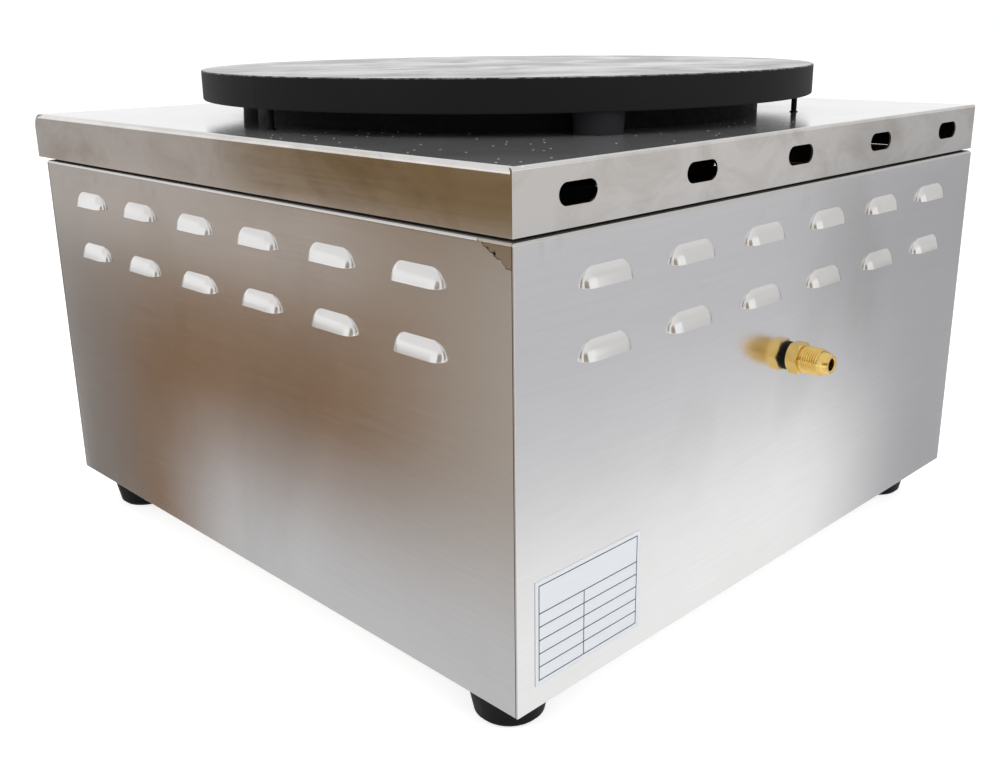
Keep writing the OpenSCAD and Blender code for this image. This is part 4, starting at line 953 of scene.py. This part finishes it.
def dial_marks():
    low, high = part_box("knob_dial")
    axis_z = (low.z + high.z) / 2

    def spot(angle, r):
        """A place on the dial at an angle to the left of the top."""
        turn = math.radians(angle)
        return -r * math.sin(turn), axis_z + r * math.cos(turn)

    def disc(angle, r, radius):
        x, z = spot(angle, r)
        turns = [math.radians(t) for t in range(0, 360, MARK_STEP)]
        return [(x + radius * math.cos(t), z + radius * math.sin(t)) for t in turns]

    def tick(angle):
        half = math.degrees(DIAL_TICK_W / 2 / DIAL_TICK_R)
        inner = DIAL_TICK_R
        outer = DIAL_TICK_R + DIAL_TICK_LEN
        corners = ((-half, inner), (-half, outer), (half, outer), (half, inner))
        return [spot(angle + side, r) for side, r in corners]

    def flame(angle, height):
        """An upright drop with a pointed top."""
        x, z = spot(angle, DIAL_MARK_R)
        turns = [math.radians(t) for t in range(0, 360, MARK_STEP)]
        return [
            (
                x + FLAME_WAIST * height * math.sin(t) * math.sin(t / 2) ** FLAME_POINT,
                z + height / 2 * math.cos(t),
            )
            for t in turns
        ]

    def wedge():
        start = FULL_FLAME_ANGLE + WEDGE_MARGIN
        end = LOW_FLAME_ANGLE - WEDGE_MARGIN
        turns = range(start, end + 1, ARC_STEP)

        def half_width(angle):
            share = (angle - start) / (end - start)
            return (WEDGE_WIDE + (WEDGE_NARROW - WEDGE_WIDE) * share) / 2

        inner = [spot(angle, DIAL_MARK_R - half_width(angle)) for angle in turns]
        outer = [spot(angle, DIAL_MARK_R + half_width(angle)) for angle in reversed(turns)]
        return inner + outer

    bm = bmesh.new()
    add_print(bm, disc(0, DIAL_MARK_R, OFF_DOT_R), low.y)
    add_print(bm, flame(FULL_FLAME_ANGLE, FULL_FLAME_H), low.y)
    add_print(bm, flame(LOW_FLAME_ANGLE, LOW_FLAME_H), low.y)
    add_print(bm, wedge(), low.y)
    for angle in range(FULL_FLAME_ANGLE, LOW_FLAME_ANGLE + 1, DIAL_TICK_STEP):
        add_print(bm, tick(angle), low.y)
    add_mesh("dial_marks", bm, finishes["white_plastic"], "base")


dial_marks()


# Ruled table printed on the rating label, with no words in it

def label_rules():
    low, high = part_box("rating_plate")
    left = low.x + LABEL_MARGIN
    right = high.x - LABEL_MARGIN
    bottom = low.z + LABEL_MARGIN
    top = high.z - LABEL_MARGIN
    header_z = top - HEADER_SHARE * (top - bottom)
    divider_x = right - DIVIDER_SHARE * (right - left)
    row_h = (header_z - bottom) / LABEL_ROWS
    levels = [top] + [bottom + row_h * row for row in range(LABEL_ROWS + 1)]
    bm = bmesh.new()
    half = RULE_W / 2
    for level in levels:
        add_box(bm, (left - half, high.y, level - half), (right + half, high.y + PRINT_T, level + half))
    for x, upper in ((left, top), (right, top), (divider_x, header_z)):
        add_box(bm, (x - half, high.y, bottom), (x + half, high.y + PRINT_T, upper))
    add_mesh("label_rules", bm, label_ink, "base")


label_rules()


# Stage: floor, cards that only the metal sees, lamps and white surround

FLOOR_HALF = 30.0
FLOOR_GREY = 0.7
FLOOR_GLOW = 0.7
FLOOR_MIRRORED = 0.5
AMBIENT = 0.62
FULL_WHITE = 1.0
LAMP_TARGET = (0, 0, 0.2)
TOP_LAMP_PLACE = (0.2, 0.3, 2.2)
TOP_LAMP_SIZE = 1.8
TOP_LAMP_WATTS = 22
SIDE_LAMP_SIZE = 1.2
LEFT_LAMP_PLACE = (1.9, -0.6, 1.4)
LEFT_LAMP_WATTS = 9
RIGHT_LAMP_PLACE = (-0.6, 2.0, 1.4)
RIGHT_LAMP_WATTS = 13
NEUTRAL_LIGHT = (1, 1, 1)
WARM_LIGHT = (1, 0.98, 0.95)
COOL_LIGHT = (0.97, 0.985, 1)
CARD_LOW = 0.002
CARD_RISE = 0.45
CARD_STEPS = 16
SEEN_SPAN = (-1.3, 1.3)
FAR_SPAN = (-1.0, 4.0)
FAR_EYE = (0.0, 0.84)
STAND_OFF = 1.5
STAND_W = 1.2
STAND_H = 0.7
STAND_DIM = (0.35, 0.29, 0.23)
CEILING_H = 2.0
CEILING_HALF = 4.0
CEILING_DIM = (0.86, 0.85, 0.84)
CEILING_FAR = (0.66, 0.66, 0.665)
CORNER_PLACE = (-3.6, 1.3)
CORNER_W = 4.0
CORNER_LOW = 0.4
CORNER_DIM = (0.71, 0.7, 0.69)
SIDE_GAP = 0.011
CARD_DEPTHS = (0.02, 0.045, 0.08, 0.12, 0.2, 0.26, 0.32, 0.34, 0.36, 0.42, 0.5, 0.6)
ROOM_FOOT = (0.59, 0.59, 0.6)
ROOM_GREY = (0.235, 0.205, 0.185)
ROOM_BROWN = (0.225, 0.13, 0.066)
ROOM_BEIGE = (0.415, 0.365, 0.315)
ROOM_HIGH = (0.5, 0.45, 0.41)
SKIRT_PALE = (0.43, 0.395, 0.37)
SKIRT_BRONZE = (0.2, 0.132, 0.064)
REAR_FOOT = (1.0, 1.0, 1.0)
REAR_PALE = (0.59, 0.59, 0.615)
REAR_DIM = (0.43, 0.43, 0.45)
REAR_SKIRT = (0.63, 0.615, 0.61)
REAR_SKIRT_DIM = (0.49, 0.485, 0.49)
FAR_LIGHT = (0.62, 0.62, 0.62)
FAR_DARK = (0.36, 0.36, 0.365)

# Where a card's colours change, in metres along the wall or out from the middle

GREY_TO_BROWN = (-0.18, -0.09)
BROWN_TO_BEIGE = (0.1, 0.24)
HIGH_RISE = (0.4, 0.52)
HIGH_FADE = (0.08, 0.2)
FOOT_FADE = (0.25, 0.37)
FOOT_RISE = (-0.13, 0.0)
PALE_TO_BRONZE = (-0.01, 0.045)
WALL_TO_SKIRT = (0.578, 0.588)
DIM_TO_PALE = (-0.1, 0.02)
REAR_FOOT_FADE = (0.27, 0.41)
REAR_FOOT_RISE = (-0.18, 0.0)
REAR_SKIRT_RISE = (-0.1, 0.05)
FAR_FADE = (0.25, 0.6)


def seen_directly(tree, mirrored=1.0):
    """One for rays from the camera or through glass, a share in mirrors, nought for light on things."""
    path = tree.nodes.new("ShaderNodeLightPath")
    clear = combine(tree, "MAXIMUM", path.outputs["Is Camera Ray"], path.outputs["Is Transmission Ray"])
    glossy = combine(tree, "MULTIPLY", path.outputs["Is Glossy Ray"], mirrored)
    return combine(tree, "MAXIMUM", clear, glossy)


def glowing_material(name):
    """A material with only a glow and an output, its node tree and these two nodes."""
    material, tree, shader = new_material(name)
    tree.nodes.remove(shader)
    return material, tree, tree.nodes.new("ShaderNodeEmission"), tree.nodes["Material Output"]


def floor():
    """White floor that keeps a soft shadow."""
    material, tree, glow, output = glowing_material("pale_floor")
    total = tree.nodes.new("ShaderNodeAddShader")
    lit = tree.nodes.new("ShaderNodeBsdfDiffuse")
    lit.inputs["Color"].default_value = (FLOOR_GREY, FLOOR_GREY, FLOOR_GREY, 1)
    seen = seen_directly(tree, FLOOR_MIRRORED)
    tree.links.new(combine(tree, "MULTIPLY", seen, FLOOR_GLOW), glow.inputs["Strength"])
    tree.links.new(lit.outputs[0], total.inputs[0])
    tree.links.new(glow.outputs[0], total.inputs[1])
    tree.links.new(total.outputs[0], output.inputs["Surface"])
    bm = bmesh.new()
    bmesh.ops.create_grid(bm, x_segments=1, y_segments=1, size=FLOOR_HALF)
    mesh = bpy.data.meshes.new("floor")
    bm.to_mesh(mesh)
    bm.free()
    mesh.materials.append(material)
    piece = bpy.data.objects.new("floor", mesh)
    scene.collection.objects.link(piece)


def ramp(value, start, end):
    """Smooth step from nought at the start to one at the end."""
    share = min(1.0, max(0.0, (value - start) / (end - start)))
    return share * share * (3 - 2 * share)


def mixed(first, second, share):
    return tuple(a + (b - a) * share for a, b in zip(first, second))


def side_room(along, out):
    """What the right side mirrors: a brown room, paler above and by the floor, bronze over the skirt."""
    wall = mixed(ROOM_GREY, ROOM_BROWN, ramp(along, *GREY_TO_BROWN))
    wall = mixed(wall, ROOM_BEIGE, ramp(along, *BROWN_TO_BEIGE))
    wall = mixed(wall, ROOM_HIGH, ramp(out, *HIGH_RISE) * (1 - ramp(along, *HIGH_FADE)))
    foot = (1 - ramp(out, *FOOT_FADE)) * ramp(along, *FOOT_RISE)
    wall = mixed(wall, ROOM_FOOT, foot)
    skirt = mixed(SKIRT_PALE, SKIRT_BRONZE, ramp(along, *PALE_TO_BRONZE))
    return mixed(wall, skirt, ramp(out, *WALL_TO_SKIRT))


def rear_room(along, out):
    """What the rear mirrors: a pale room, white by the floor, dimmer towards the left side."""
    wall = mixed(REAR_DIM, REAR_PALE, ramp(along, *DIM_TO_PALE))
    foot = (1 - ramp(out, *REAR_FOOT_FADE)) * ramp(along, *REAR_FOOT_RISE)
    wall = mixed(wall, REAR_FOOT, foot)
    skirt = mixed(REAR_SKIRT_DIM, REAR_SKIRT, ramp(along, *REAR_SKIRT_RISE))
    return mixed(wall, skirt, ramp(out, *WALL_TO_SKIRT))


def plain_room(along, out):
    """What the front and the left side mirror: light by the floor, darker further off."""
    return mixed(FAR_LIGHT, FAR_DARK, ramp(out, *FAR_FADE))


def card_material():
    """Glow in the colours painted on the card."""
    material, tree, glow, output = glowing_material("room_card")
    paint = tree.nodes.new("ShaderNodeVertexColor")
    paint.layer_name = "room"
    tree.links.new(paint.outputs["Color"], glow.inputs["Color"])
    tree.links.new(glow.outputs[0], output.inputs["Surface"])
    return material


def add_card(name, points, faces, colours):
    """A glowing sheet in the given colours that only glossy rays meet."""
    mesh = bpy.data.meshes.new(name)
    mesh.from_pydata(points, [], faces)
    paint = mesh.color_attributes.new("room", "FLOAT_COLOR", "POINT")
    for entry, colour in zip(paint.data, colours):
        entry.color = (*colour, 1.0)
    mesh.materials.append(card_paint)
    piece = bpy.data.objects.new(name, mesh)
    piece.visible_camera = False
    piece.visible_diffuse = False
    piece.visible_shadow = False
    piece.visible_transmission = False
    scene.collection.objects.link(piece)


def room_card(name, wall, room, place, eye, span):
    """A card that rises away from a wall, painted with the room that the wall mirrors.

    The eye is given along the wall and out from the middle. The card's columns follow the sight lines that
    the wall mirrors from it, one for each place along the wall, over a span in half widths of the wall.
    """
    behind = 2 * wall - eye[1]
    points = []
    colours = []
    depths = [wall + SIDE_GAP] + [wall + SIDE_GAP + depth for depth in CARD_DEPTHS]
    for step in range(CARD_STEPS + 1):
        along = wall * (span[0] + (span[1] - span[0]) * step / CARD_STEPS)
        for out in depths:
            reach = eye[0] + (along - eye[0]) * (out - behind) / (wall - behind)
            points.append(place(reach, out, CARD_LOW + CARD_RISE * (out - wall - SIDE_GAP)))
            colours.append(room(along, out))
    rows = len(depths)
    faces = []
    for step in range(CARD_STEPS):
        for row in range(rows - 1):
            corner = step * rows + row
            faces.append((corner, corner + 1, corner + rows + 1, corner + rows))
    add_card(name, points, faces, colours)


def upright_card(name, place, width, low, high, colour):
    """A plain card that stands across the line from the middle to a place on the floor."""
    foot = Vector((place[0], place[1], 0))
    level = Vector((-foot.y, foot.x, 0)).normalized()
    points = []
    for side, height in ((-1, low), (1, low), (1, high), (-1, high)):
        points.append(foot + level * side * width / 2 + Vector((0, 0, height)))
    add_card(name, points, [(0, 1, 2, 3)], [colour] * 4)


def photographer():
    """A dim card behind the camera, for round metal to mirror."""
    place = Vector((CAMERA_PLACE.x, CAMERA_PLACE.y)).normalized() * STAND_OFF
    upright_card("photographer", place, STAND_W, 0, STAND_H, STAND_DIM)


def ceiling():
    """A card overhead, a little dimmer than the white round it, and dimmest at its rear left corner."""
    corners = ((-1, -1), (1, -1), (1, 1), (-1, 1))
    points = [(CEILING_HALF * x, CEILING_HALF * y, CEILING_H) for x, y in corners]
    add_card("ceiling", points, [(0, 1, 2, 3)], [CEILING_DIM, CEILING_DIM, CEILING_DIM, CEILING_FAR])


def lamp(name, place, size, power, colour):
    """A square soft box that shines on the object and isn't mirrored."""
    data = bpy.data.lights.new(name, "AREA")
    data.shape = "SQUARE"
    data.size = size
    data.energy = power
    data.color = colour
    piece = bpy.data.objects.new(name, data)
    piece.location = place
    piece.rotation_euler = (Vector(LAMP_TARGET) - Vector(place)).to_track_quat("-Z", "Y").to_euler()
    piece.visible_glossy = False
    scene.collection.objects.link(piece)


def surround():
    """Even white world: full white where it is seen, dimmer where it lights."""
    world = bpy.data.worlds.new("white_surround")
    scene.world = world
    world.use_nodes = True
    tree = world.node_tree
    tree.nodes.clear()
    output = tree.nodes.new("ShaderNodeOutputWorld")
    mix = tree.nodes.new("ShaderNodeMixShader")
    tree.links.new(seen_directly(tree), mix.inputs[0])
    for socket, strength in ((mix.inputs[1], AMBIENT), (mix.inputs[2], FULL_WHITE)):
        white = tree.nodes.new("ShaderNodeBackground")
        white.inputs["Color"].default_value = (1, 1, 1, 1)
        white.inputs["Strength"].default_value = strength
        tree.links.new(white.outputs[0], socket)
    tree.links.new(mix.outputs[0], output.inputs["Surface"])


floor()
surround()
card_paint = card_material()
right_eye = (CAMERA_PLACE.y, CAMERA_PLACE.x)
rear_eye = (CAMERA_PLACE.x, CAMERA_PLACE.y)
room_card("right_card", wall_x, side_room, lambda along, out, up: (out, along, up), right_eye, SEEN_SPAN)
room_card("rear_card", wall_y, rear_room, lambda along, out, up: (along, out, up), rear_eye, SEEN_SPAN)
room_card("left_card", wall_x, plain_room, lambda along, out, up: (-out, -along, up), FAR_EYE, FAR_SPAN)
room_card("front_card", wall_y, plain_room, lambda along, out, up: (-along, -out, up), FAR_EYE, FAR_SPAN)
photographer()
upright_card("room_corner", CORNER_PLACE, CORNER_W, CORNER_LOW, CEILING_H, CORNER_DIM)
ceiling()
lamp("top_softbox", TOP_LAMP_PLACE, TOP_LAMP_SIZE, TOP_LAMP_WATTS, NEUTRAL_LIGHT)
lamp("left_softbox", LEFT_LAMP_PLACE, SIDE_LAMP_SIZE, LEFT_LAMP_WATTS, WARM_LIGHT)
lamp("right_softbox", RIGHT_LAMP_PLACE, SIDE_LAMP_SIZE, RIGHT_LAMP_WATTS, COOL_LIGHT)


def camera():
    """Perspective camera at the place the photograph was taken from."""
    data = bpy.data.cameras.new("photo_camera")
    data.type = "PERSP"
    data.sensor_fit = "HORIZONTAL"
    data.sensor_width = SENSOR_W
    data.lens = FOCAL_PIXELS * SENSOR_W / PICTURE_W
    data.shift_x = (PICTURE_W / 2 - LENS_AXIS_U) / PICTURE_W
    data.shift_y = (LENS_AXIS_V - PICTURE_H / 2) / PICTURE_W
    data.clip_start = CLIP_START
    data.clip_end = CLIP_END
    forward = Vector((
        -math.sin(CAMERA_AZIMUTH) * math.cos(CAMERA_PITCH),
        -math.cos(CAMERA_AZIMUTH) * math.cos(CAMERA_PITCH),
        math.sin(CAMERA_PITCH),
    ))
    level = forward.cross(Vector((0, 0, 1))).normalized()
    upright = level.cross(forward)
    right = math.cos(CAMERA_ROLL) * level + math.sin(CAMERA_ROLL) * upright
    up = math.cos(CAMERA_ROLL) * upright - math.sin(CAMERA_ROLL) * level
    piece = bpy.data.objects.new("photo_camera", data)
    turn = Matrix((right, up, -forward)).transposed().to_4x4()
    piece.matrix_world = Matrix.Translation(CAMERA_PLACE) @ turn
    scene.collection.objects.link(piece)
    scene.camera = piece


camera()
scene.view_settings.view_transform = "Standard"
